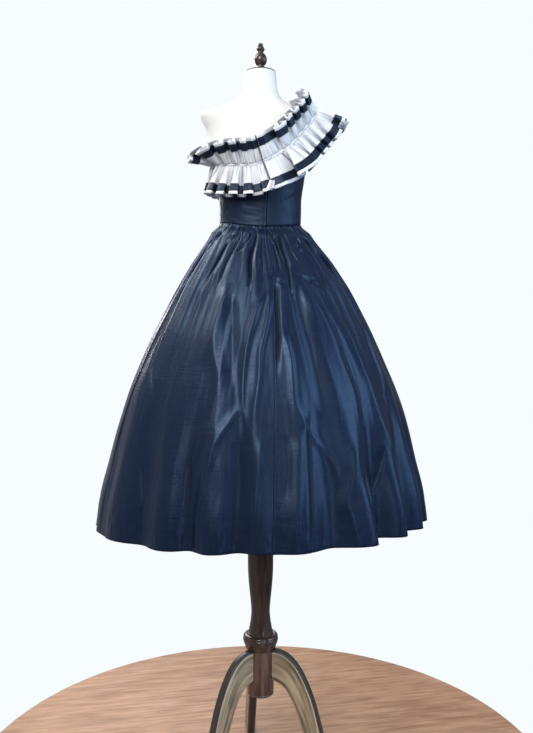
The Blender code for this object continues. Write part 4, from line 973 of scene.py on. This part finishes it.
def stitched(name, paths, pitch, size, material):
    """Rows of stitches along paths, each a pair of points and normals."""
    rows = [along_path(path, normals, pitch) for path, normals in paths]
    centres, directions, normals = (np.concatenate([row[i] for row in rows]) for i in range(3))
    return capsules(name, centres + normals * size[2] * 0.3, directions, normals, size, material)


def skirt_path(beside, top, bottom):
    """A path down the skirt beside its centre back, a distance in metres away from it."""
    down = np.linspace(top, bottom, 160)[None, :]
    bell = bell_width(down)
    gather = CENTRE_BACK_GATHER + beside / (2 * math.pi * bell / GATHERS)
    points, normals = skirt_points(gather, down)[:2]
    return points[0], normals[0]


def bodice_path(angle, height):
    """A path over the bodice through arrays of angles and heights."""
    angle, height = angle[None, :], height[None, :]
    normal = form_normals(angle, height)
    return bodice_surface(angle, height, normal)[0][0], normal[0]


def armhole_path(rows, inward):
    """A path just inside the armhole's edge; inward is the sign that leads away from the opening."""
    spots = sampled(rows, 60)
    step = inward * ARMHOLE_STITCH_INSET / (form_width(spots[:, 1]) * math.radians(1))
    return bodice_path(spots[:, 0] + step, spots[:, 1])


def make_sewing(materials):
    """The stitches that show, the zip's teeth behind its slot and its bottom stop."""
    zip_heights = np.linspace(*BODICE_ZIP_HEIGHTS, 120)
    turn = form_width(zip_heights) * math.radians(1)
    rows = []
    for side in (-PLACKET_HALF, PLACKET_HALF):
        rows.append(skirt_path(side, SKIRT_ZIP_START, PLACKET_END_SHARE))
        rows.append(bodice_path(90.0 + side / turn, zip_heights))
    rows.append(armhole_path(ARMHOLE_BACK_ROWS, -1))
    rows.append(armhole_path(ARMHOLE_FRONT_ROWS, 1))
    stitched("topstitching", rows, *TOPSTITCH, materials["navy_thread"])
    round_hem = np.linspace(SEAM_LEFT_GATHER, SEAM_LEFT_GATHER + GATHERS, 900)[:, None]
    path, normals = (grid[:, 0] for grid in skirt_points(round_hem, np.array([[HEM_ROW]]))[:2])
    stitched("hem_stitches", [(path, normals)], *HEM_STITCH, materials["navy_thread"])
    waves = np.linspace(0.02, WAVE_COUNT - 0.02, WAVE_COUNT * 60)[:, None]

    def ruffle_path(reach, lift):
        across = np.array([[reach - 0.0004, reach, reach + 0.0004]])
        points = ruffle_points(waves, across, lift=lift)[0]
        return points[:, 1], grid_normals(points)[:, 1]

    rows = [ruffle_path(side * GATHERING_ROW, 0.0) for side in (-1, 1)]
    stitched("gathering_stitches", rows, *GATHERING_STITCH, materials["white_thread"])
    near, far = BAND_MARGIN + BAND_STITCH_INSET, BAND_MARGIN + BAND_WIDTH - BAND_STITCH_INSET
    edges = (near - UPPER_FRILL, far - UPPER_FRILL, LOWER_FRILL - far, LOWER_FRILL - near)
    rows = [ruffle_path(edge, BAND_LIFT) for edge in edges]
    stitched("band_stitches", rows, *BAND_STITCH, materials["navy_thread"])
    teeth = []
    for path, normals in (skirt_path(0.0, SKIRT_ZIP_START, PLACKET_END_SHARE),
                          bodice_path(np.full_like(zip_heights, 90.0), zip_heights)):
        centres, directions, normals = along_path(path, normals, ZIP_TOOTH[0])
        teeth.append((centres - normals * ZIP_TEETH_DEPTH, unit(np.cross(directions, normals)), normals))
    places = [np.concatenate([row[i] for row in teeth]) for i in range(3)]
    capsules("zip_teeth", *places, ZIP_TOOTH[1], materials["navy_thread"])
    path, normals = skirt_path(0.0, PLACKET_END_SHARE, PLACKET_END_SHARE + 0.004)
    directions = unit(np.diff(path[:2], axis=0))
    capsules("zip_bottom_stop", path[:1] + normals[:1] * 0.0008, directions, normals[:1],
             ZIP_STOP_SIZE, materials["metal"], "zip_metal")


def make_turned_corner(white):
    """The ruffle's end where it overlaps at the centre back, its lower corner folded outward."""
    points = ruffle_points(np.array([[0.01], [0.06]]), np.array([[0.056, 0.064, 0.074, 0.083]]))[0]
    along = unit(points[1] - points[0])
    nearby = ruffle_points(np.linspace(0.01, 0.2, 4)[:, None], np.linspace(0.05, 0.083, 5)[None, :])[0]
    outward = unit(grid_normals(nearby).mean(axis=(0, 1)))
    top = points[0, 0] - along[0] * 0.005 + outward * 0.0030
    right = points[0, 1] + along[0] * 0.006 + outward * 0.0050
    low_right = points[0, 3] - along[0] * 0.003 + outward * 0.0075
    low_left = points[0, 3] - along[0] * 0.027 + outward * 0.0060
    share = np.linspace(0, 1, 14)
    across, downward = share[:, None, None], share[None, :, None]
    upper_edge = top + (right - top) * across
    lower_edge = low_left + (low_right - low_left) * across
    pleat = 0.0026 * np.abs(2 * ((1.3 * across + 0.2) % 1.0) - 1) * downward
    pleat = pleat + 0.0010 * np.sin(math.pi * across)
    grid = upper_edge + (lower_edge - upper_edge) * downward + outward * pleat
    # painted shade in a stripe down the folded corner
    cloth_piece("ruffle_turned_corner", grid, white, flipped=True,
                painted_shade=0.55 * smooth_step((0.35 - np.abs(share - 0.62)[:, None]) / 0.3))


def joined_mesh(mesh, distance, sharp_degrees):
    """The mesh with its points within a distance of each other joined, or, with no distance, its open ends
    closed.
    """
    shape = bmesh.new()
    shape.from_mesh(mesh)
    if distance:
        bmesh.ops.remove_doubles(shape, verts=shape.verts, dist=distance)
    else:
        bmesh.ops.holes_fill(shape, edges=[edge for edge in shape.edges if edge.is_boundary], sides=0)
        bmesh.ops.recalc_face_normals(shape, faces=shape.faces)
    shape.to_mesh(mesh)
    shape.free()
    mesh.shade_smooth()
    mesh.set_sharp_from_angle(angle=math.radians(sharp_degrees))
    return mesh


def make_form(cover):
    """The dress form's smooth covered body with a rounded lower edge."""
    angle = np.linspace(0, 360, FORM_COLUMNS, endpoint=False)[:, None]
    heights = np.concatenate([np.linspace(NECK_TOP, 1.832, 14), np.linspace(1.828, 1.770, 24),
                              np.linspace(1.765, FORM_BASE, 70)])[None, :]
    points = form_points(angle, heights)
    top, low = points[:, :1], points[:, -1:]
    rims = [ring * np.array([share, share, 1.0])
            for ring, share in ((top, 0.0), (top, 0.985), (low, 0.97), (low, 0.0))]
    points[:, -1] = points[:, -1] * np.array([0.995, 0.995, 1.0])
    points = np.concatenate([*rims[:2], points, *rims[2:]], axis=1)
    mesh = joined_mesh(grid_mesh("dress_form_cover", points, closed=True), 0.00001, 40)
    return add_piece("dress_form_cover", mesh, cover, ["dress_form"])


def turned(name, replaced, wood, top, stretches):
    """A turned piece whose profile starts on the axis; each stretch runs on from the last one's end."""
    profile = [np.array([(0, top)])]
    for stretch in stretches:
        stretch = [tuple(profile[-1][-1]), *stretch]
        profile.append(sampled(stretch, 6 * len(stretch)) if len(stretch) > 2 else np.array(stretch))
    profile = np.concatenate(profile)
    keep = np.concatenate([[True], np.linalg.norm(np.diff(profile, axis=0), axis=1) > 1e-6])
    profile = profile[keep]
    turn = np.linspace(0, 2 * math.pi, TURNED_COLUMNS, endpoint=False)[:, None]
    radius, height = profile[None, :, 0], profile[None, :, 1]
    points = points_of(radius * np.cos(turn), radius * np.sin(turn), height)
    mesh = joined_mesh(grid_mesh(name, points, closed=True), 0.000005, 32)
    return add_piece(name, mesh, wood, [replaced])


def make_stand(dark_wood, hub_wood, leg_wood):
    """Neck cap, finial, pole, hub and the three arched legs."""
    cap_low = NECK_TOP + SEAT_GAP
    cap_high = cap_low + CAP_THICKNESS
    base = cap_high + SEAT_GAP
    turned("neck_cap_turned", "neck_cap", dark_wood, cap_high, [
        [(0.0400, cap_high)],
        [(0.0411, cap_high - 0.0005), (0.0415, cap_high - 0.0016), (0.0411, cap_low + 0.0005),
         (0.0402, cap_low)],
        [(0, cap_low)]])
    turned("finial_turned", "finial", dark_wood, FINIAL_TOP, [
        [(0.0030, 1.9840), (0.0058, 1.9820), (0.0074, 1.9788), (0.0074, 1.9765), (0.0064, 1.9738)],
        [(0.0100, 1.9718), (0.0114, 1.9680), (0.0108, 1.9650), (0.0084, 1.9612), (0.0079, 1.9575)],
        [(0.0122, 1.9540), (0.0160, 1.9480), (0.0175, 1.9405), (0.0167, 1.9335), (0.0134, 1.9273),
         (0.0098, 1.9235)],
        [(0.0102, 1.9200), (0.0125, 1.9155), (0.0160, base + 0.0042), (0.0165, base + 0.002),
         (0.0163, base)],
        [(0, base)]])
    foot = HUB_TOP + SEAT_GAP
    turned("pole_turned", "pole", dark_wood, FORM_BASE - SEAT_GAP, [
        [(0.0300, FORM_BASE - SEAT_GAP)], [(0.0300, 0.720)],
        [(0.0310, 0.680), (0.0345, 0.630), (0.0353, 0.580), (0.0348, 0.540), (0.0320, 0.500),
         (0.0280, 0.460), (0.0257, 0.430), (0.0272, 0.408), (0.0310, 0.384), (0.0342, 0.370)],
        [(0.0352, 0.3695), (0.0358, 0.3680), (0.0358, 0.3660)],
        [(0.0420, 0.3662), (0.0462, 0.3630), (0.0480, 0.3590)],
        [(0.0470, 0.3572), (0.0480, 0.3552)], [(0.0487, 0.3515), (0.0480, 0.3470), (0.0470, 0.3450)],
        [(0.0462, 0.3434), (0.0466, 0.3416), (0.0445, 0.3400)],
        [(0.0436, 0.3340), (0.0420, foot)], [(0, foot)]])
    radius, low = HUB_RADIUS, HUB_BOTTOM
    turned("hub_turned", "hub", hub_wood, HUB_TOP, [
        [(radius - 0.0008, HUB_TOP)], [(radius - 0.0001, HUB_TOP - 0.0004), (radius, HUB_TOP - 0.001)],
        [(radius, low + 0.010)], [(radius - 0.0012, low + 0.007), (radius, low + 0.004)],
        [(radius - 0.0004, low + 0.0014), (radius - 0.0025, low)], [(0, low)]])
    for name, angle in LEG_ANGLES.items():
        make_leg(name, angle, leg_wood)


def make_leg(name, angle, wood):
    """One flat arched leg with rounded edges; its dark edge and worn line ride on two attributes."""
    outer = sampled(LEG_OUTER_ROWS, LEG_STATIONS)
    inner = sampled(LEG_INNER_ROWS, LEG_STATIONS)
    start = HUB_RADIUS + 0.0006
    outer[:, 0] = np.where(outer[:, 0] < HUB_RADIUS + SEAT_GAP + 0.0002, start, outer[:, 0])
    inner[:, 0] = np.maximum(inner[:, 0], start)
    inward = (inner - outer) / np.linalg.norm(outer - inner, axis=1)[:, None]
    ring = [(outer, inward, row) for row in LEG_OUTER_SECTION]
    ring += [(inner, -inward, row) for row in LEG_INNER_SECTION]
    signs = [1.0] * len(ring) + [-1.0] * (len(ring) - 2)
    ring += ring[-2:0:-1]
    points = np.zeros((len(ring), LEG_STATIONS, 3))
    for i, ((edge, direction, row), sign) in enumerate(zip(ring, signs)):
        spot = edge + direction * row[0]
        points[i] = points_of(spot[:, 0], sign * row[1], np.maximum(spot[:, 1], 0.0))
    points[:, -1, 2] = 0.0
    mesh = grid_mesh(name, points, closed=True)
    for label, column in (("dark_edge", 2), ("worn_line", 3)):
        point_attribute(mesh, label, np.repeat([row[column] for edge, direction, row in ring], LEG_STATIONS))
    mesh = joined_mesh(mesh, None, 35)
    mesh.transform(Matrix.Rotation(math.radians(angle), 4, "Z"))
    return add_piece(name + "_shaped", mesh, wood, [name])


class Shading:
    """Adds nodes to one shader tree; an input is linked when its value is a socket and set otherwise."""

    def __init__(self, tree):
        self.tree = tree

    def set(self, socket, value):
        if isinstance(value, bpy.types.NodeSocket):
            self.tree.links.new(value, socket)
        elif socket.type == "RGBA":
            socket.default_value = (*value[:3], 1.0)
        else:
            socket.default_value = value

    def add(self, kind, inputs, **settings):
        node = self.tree.nodes.new(kind)
        for label, value in settings.items():
            setattr(node, label, value)
        for key, value in inputs.items():
            self.set(node.inputs[key], value)
        return node

    def math(self, operation, first, second, clamp=False):
        node = self.add("ShaderNodeMath", {0: first, 1: second}, operation=operation, use_clamp=clamp)
        return node.outputs[0]

    def weighted(self, first, first_share, second, second_share):
        """The sum of two values, each times its share."""
        first = self.math("MULTIPLY", first, first_share)
        return self.math("ADD", first, self.math("MULTIPLY", second, second_share))

    def mix(self, factor, first, second):
        return self.add("ShaderNodeMix", {0: factor, 6: first, 7: second}, data_type="RGBA").outputs[2]

    def noise(self, vector, scale, detail=3.0, stretch=(1, 1, 1)):
        mapped = self.add("ShaderNodeMapping", {"Scale": stretch, "Vector": vector}).outputs[0]
        return self.add("ShaderNodeTexNoise", {"Scale": scale, "Detail": detail, "Roughness": 0.55,
                                               "Vector": mapped}).outputs["Fac"]

    def place(self, space):
        return self.add("ShaderNodeTexCoord", {}).outputs[space]

    def attribute(self, name):
        return self.add("ShaderNodeAttribute", {}, attribute_name=name).outputs["Fac"]

    def surface(self, group, vector, light, dark, roughness):
        """The outputs of a surface group with a material's own values."""
        return self.add("ShaderNodeGroup", {"Vector": vector, "Light Colour": light, "Dark Colour": dark,
                                            "Base Roughness": roughness}, node_tree=group).outputs

    def finish(self, colour, roughness, height, strength, distance):
        """Links the Principled shader to its colour, roughness and bump."""
        bump = self.add("ShaderNodeBump", {"Strength": strength, "Distance": distance, "Height": height})
        shader = self.tree.nodes["Principled BSDF"]
        for label, value in (("Base Color", colour), ("Roughness", roughness), ("Normal", bump.outputs[0])):
            self.set(shader.inputs[label], value)


def surface_group(name, noises, shares, offset, gain, spread, fine_first=False):
    """Colour, roughness and height of a surface from its streaks, its patches and its finest marks.

    A noise is a row of scale, detail and stretch. Roughness and height follow the streaks most,
    or the finest marks.
    """
    tree = bpy.data.node_groups.new(name, "ShaderNodeTree")
    for side, label, kind in (("INPUT", "Vector", "Vector"), ("INPUT", "Light Colour", "Color"),
                              ("INPUT", "Dark Colour", "Color"), ("INPUT", "Base Roughness", "Float"),
                              ("OUTPUT", "Colour", "Color"), ("OUTPUT", "Roughness", "Float"),
                              ("OUTPUT", "Height", "Float")):
        tree.interface.new_socket(label, in_out=side, socket_type="NodeSocket" + kind)
    given = tree.nodes.new("NodeGroupInput").outputs
    result = tree.nodes.new("NodeGroupOutput").inputs
    shading = Shading(tree)
    streak, patch, fine = (shading.noise(given["Vector"], *row) for row in noises)
    mixed = shading.math("SUBTRACT", shading.weighted(streak, shares[0], patch, shares[1]), offset)
    factor = shading.math("MULTIPLY", mixed, gain, clamp=True)
    first, second = (fine, streak) if fine_first else (streak, fine)
    uneven = shading.math("MULTIPLY", shading.math("SUBTRACT", first, 0.5), spread)
    shading.set(result["Colour"], shading.mix(factor, given["Dark Colour"], given["Light Colour"]))
    shading.set(result["Roughness"], shading.math("ADD", given["Base Roughness"], uneven))
    shading.set(result["Height"], shading.weighted(first, 0.6, second, 0.4))
    return tree


def woven_cloth_group():
    """Plain weave with slubs in its crosswise threads, on UVs in metres."""
    noises = (210.0, 2.5, (0.08, 1.0, 1.0)), (14.0,), (1500.0, 1.0, (0.35, 1.0, 1.0))
    return surface_group("woven_cloth", noises, shares=(0.7, 0.5), offset=0.1, gain=1.0, spread=0.34)


def wood_grain_group():
    """Streaked grain along the third axis of its vector."""
    noises = (90.0, 4.0, (1.0, 1.0, 0.07)), (22.0, 3.0, (1.0, 1.0, 0.35)), (420.0, 2.0, (1.0, 1.0, 0.05))
    return surface_group("wood_grain", noises, shares=(0.9, 0.6), offset=0.58, gain=3.0, spread=0.3,
                         fine_first=True)


def start_material(name, constants):
    """A new material with its Principled shader's constants set."""
    material = bpy.data.materials.new(name)
    material.use_nodes = True
    shading = Shading(material.node_tree)
    for label, value in constants.items():
        shading.set(material.node_tree.nodes["Principled BSDF"].inputs[label], value)
    return material, shading


def cloth_material(name, group, thread, shade, painted_shade, roughness, bump, constants):
    """A woven cloth in its own colours, with painted shade in its folds: darker towards the shade colour
    there, and rougher.
    """
    material, shading = start_material(name, constants)
    cloth = shading.surface(group, shading.place("UV"), thread, shade, roughness)
    # painted shade: the attribute mixes in the shade colour and makes the cloth rougher
    depth = shading.attribute("painted_shade")
    dull = shading.math("ADD", cloth["Roughness"], shading.math("MULTIPLY", depth, 0.35), clamp=True)
    shading.finish(shading.mix(depth, cloth["Colour"], painted_shade), dull, cloth["Height"], bump, 0.0005)
    return material


def wood_material(name, group, light, dark, roughness, constants, leg=False, flat=False):
    """A stained and varnished wood.

    A leg also has dark edges and a worn line; flat wood has its grain along the floor.
    """
    material, shading = start_material(name, constants)
    vector = shading.place("UV" if leg else "Object")
    if leg:
        turn = shading.add("ShaderNodeSeparateXYZ", {0: vector}).outputs
        vector = shading.add("ShaderNodeCombineXYZ", {0: turn[0], 2: turn[1]}).outputs[0]
    if flat:
        lie = (0.0, math.radians(90), math.radians(30))
        vector = shading.add("ShaderNodeMapping", {"Rotation": lie, "Vector": vector}).outputs[0]
    grain = shading.surface(group, vector, light, dark, roughness)
    colour = grain["Colour"]
    if leg:
        patches = shading.math("MULTIPLY", shading.noise(vector, 30.0), 2.0)
        shaded = shading.math("MULTIPLY", shading.attribute("dark_edge"), 0.93, clamp=True)
        rubbed = shading.math("MULTIPLY", shading.attribute("worn_line"), patches, clamp=True)
        colour = shading.mix(shaded, colour, LEG_EDGE_COLOUR)
        colour = shading.mix(rubbed, colour, LEG_WORN_COLOUR)
    shading.finish(colour, grain["Roughness"], grain["Height"], 0.35, 0.0004)
    return material


def plain_material(name, scale, detail, stretch, colours, roughness, spread, bump, constants):
    """One fine noise over a plain colour, for the zip's rubbed metal and for sewing thread."""
    material, shading = start_material(name, constants)
    marks = shading.noise(shading.place("Object"), scale, detail, stretch)
    rough = shading.math("ADD", shading.math("MULTIPLY", marks, spread), roughness)
    shading.finish(shading.mix(marks, *colours), rough, marks, bump, 0.0001)
    return material


def thread_material(name, colour, roughness):
    """Twisted sewing thread: fine slanted ply on a plain colour."""
    darker = tuple(0.6 * value for value in colour)
    return plain_material(name, 2600.0, 2.0, (1.0, 1.0, 0.4), (darker, colour), roughness,
                          spread=0.2, bump=0.4, constants={"Sheen Weight": 0.2})


def make_materials(grain):
    """Every material of the dress, form and stand."""
    weave = woven_cloth_group()
    navy_painted_shade = (0.0006, 0.0008, 0.0022)
    sheen = {"Sheen Weight": 0.03, "Sheen Roughness": 0.35, "Sheen Tint": (0.45, 0.55, 0.80)}
    # Each cloth: name, thread colour, darker thread colour, colour of its painted shade, roughness, bump,
    # constants
    cloths = {
        "navy": ("navy_taffeta", (0.0088, 0.0155, 0.043), (0.0053, 0.0097, 0.028), navy_painted_shade, 0.34, 1.0,
                 {"Specular IOR Level": 0.48, "Specular Tint": (0.43, 0.66, 1.0), **sheen}),
        "bodice_navy": ("navy_taffeta_fitted", (0.0100, 0.0175, 0.043), (0.0062, 0.0105, 0.029),
                        navy_painted_shade, 0.47, 1.0,
                        {"Specular IOR Level": 0.44, "Specular Tint": (0.52, 0.72, 1.0), **sheen}),
        "white": ("white_taffeta", (0.96, 0.965, 0.98), (0.90, 0.915, 0.95), (0.16, 0.19, 0.27), 0.48, 0.3,
                  {"Specular IOR Level": 0.4, "Sheen Weight": 0.1, "Sheen Roughness": 0.4}),
        "ribbon": ("navy_ribbon", (0.0095, 0.0155, 0.041), (0.006, 0.0095, 0.026), (0.001, 0.0015, 0.004),
                   0.42, 0.3, {"Specular IOR Level": 0.5, "Specular Tint": (0.62, 0.80, 1.0)}),
        "cover": ("form_cover_cloth", (0.90, 0.89, 0.86), (0.86, 0.85, 0.81), (0.5, 0.5, 0.5), 0.80, 0.3,
                  {"Specular IOR Level": 0.25, "Sheen Weight": 0.15}),
    }
    woods = {
        "dark_wood": ("dark_turned_wood", (0.110, 0.068, 0.054), (0.028, 0.018, 0.015), 0.34,
                      {"Specular IOR Level": 0.35, "Coat Weight": 0.5, "Coat Roughness": 0.12}),
        "hub_wood": ("reddish_hub_wood", (0.200, 0.126, 0.103), (0.040, 0.026, 0.023), 0.34,
                     {"Coat Weight": 0.2, "Coat Roughness": 0.25}),
        "leg_wood": ("golden_leg_wood", (0.58, 0.48, 0.33), (0.11, 0.085, 0.054), 0.42,
                     {"Coat Weight": 0.15, "Coat Roughness": 0.3}),
    }
    materials = {key: cloth_material(name, weave, *row) for key, (name, *row) in cloths.items()}
    materials["navy_thread"] = thread_material("navy_thread", (0.016, 0.027, 0.066), 0.40)
    materials["white_thread"] = thread_material("white_thread", (0.92, 0.93, 0.96), 0.50)
    for key, (name, *row) in woods.items():
        materials[key] = wood_material(name, grain, *row, leg=key == "leg_wood")
    metals = (0.42, 0.42, 0.43), (0.70, 0.70, 0.71)
    materials["metal"] = plain_material("zip_metal_rubbed", 1400.0, 3.0, (1.0, 1.0, 0.2), metals,
                                        roughness=0.18, spread=0.25, bump=0.2, constants={"Metallic": 1.0})
    return materials


def make_camera():
    """The camera at the picture's viewing angle."""
    turn = math.radians(CAMERA_AZIMUTH)
    away = Vector((math.sin(turn), -math.cos(turn), 0))
    right = Vector((math.cos(turn), math.sin(turn), 0))
    pitch = math.radians(CAMERA_PITCH)
    ahead = -away * math.cos(pitch) + Vector((0, 0, -1)) * math.sin(pitch)
    up = right.cross(ahead)
    spot = away * CAMERA_DISTANCE + right * (CAMERA_SHIFT_PIXELS / FOCAL_PIXELS * CAMERA_DISTANCE)
    spot.z = CAMERA_HEIGHT
    data = bpy.data.cameras.new("camera")
    data.sensor_width = SENSOR
    data.lens = FOCAL_PIXELS / PICTURE_HEIGHT * SENSOR
    camera = scene_object("camera", data)
    camera.matrix_world = Matrix.Translation(spot) @ Matrix((right, up, -ahead)).transposed().to_4x4()
    bpy.context.scene.camera = camera


def area_light(name, spot, target, size, power, colour):
    """A rectangular light at a spot, turned to its target."""
    data = bpy.data.lights.new(name, "AREA")
    data.shape = "RECTANGLE"
    data.size, data.size_y = size
    data.energy = power
    data.color = colour
    lamp = scene_object(name, data)
    lamp.location = spot
    lamp.rotation_euler = (Vector(target) - Vector(spot)).to_track_quat("-Z", "Y").to_euler()


def make_daylight():
    """A world like a pale wall to the camera, and brighter above, in front and on the wearer's left."""
    world = bpy.data.worlds.new("soft_daylight")
    bpy.context.scene.world = world
    world.use_nodes = True
    shading = Shading(world.node_tree)
    direction = shading.add("ShaderNodeSeparateXYZ", {0: shading.place("Generated")}).outputs
    sideways, upward, backward = (shading.math("MULTIPLY", direction[axis], share)
                                  for axis, share in DAYLIGHT_SHARES)
    total = shading.math("ADD", shading.math("ADD", sideways, upward), backward)
    strength = shading.math("MAXIMUM", shading.math("ADD", total, DAYLIGHT_MEAN), DAYLIGHT_LEAST)
    light = world.node_tree.nodes["Background"]
    shading.set(light.inputs["Color"], (0.92, 0.96, 1.0))
    shading.set(light.inputs["Strength"], strength)
    wall = shading.add("ShaderNodeBackground", {"Color": (0.90, 0.95, 0.97), "Strength": WALL_BRIGHTNESS})
    seen = shading.add("ShaderNodeLightPath", {}).outputs["Is Camera Ray"]
    both = shading.add("ShaderNodeMixShader", {0: seen, 1: light.outputs[0], 2: wall.outputs[0]})
    shading.set(world.node_tree.nodes["World Output"].inputs["Surface"], both.outputs[0])


def make_studio(grain):
    """A round wooden floor under the stand and soft light from the windows."""
    shape = bmesh.new()
    bmesh.ops.create_circle(shape, cap_ends=True, segments=128, radius=FLOOR_RADIUS)
    floor_mesh = bpy.data.meshes.new("studio_floor")
    shape.to_mesh(floor_mesh)
    shape.free()
    boards = wood_material("studio_floor_wood", grain, (0.52, 0.29, 0.175), (0.31, 0.15, 0.083), 0.50, {},
                           flat=True)
    floor_mesh.materials.append(boards)
    scene_object("studio_floor", floor_mesh)
    make_daylight()
    for row in AREA_LIGHTS:
        area_light(*row)
    view = bpy.context.scene.view_settings
    view.view_transform = "Standard"
    view.look = "None"
    view.exposure = EXPOSURE


def main():
    """Builds the scene round the part's frame."""
    make_camera()
    grain = wood_grain_group()
    materials = make_materials(grain)
    make_studio(grain)
    make_form(materials["cover"])
    make_stand(materials["dark_wood"], materials["hub_wood"], materials["leg_wood"])
    pieces = make_skirt(materials["navy"])
    pieces.update(make_bodice(materials["bodice_navy"]))
    pieces.update(make_ruffle(materials["white"], materials["ribbon"]))
    make_turned_corner(materials["white"])
    make_sewing(materials)
    for name, material in (("zip_tape", "navy"), ("zip_slider", "metal"), ("zip_pull", "metal")):
        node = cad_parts[name]
        node.data.materials.clear()
        node.data.materials.append(materials[material])


main()
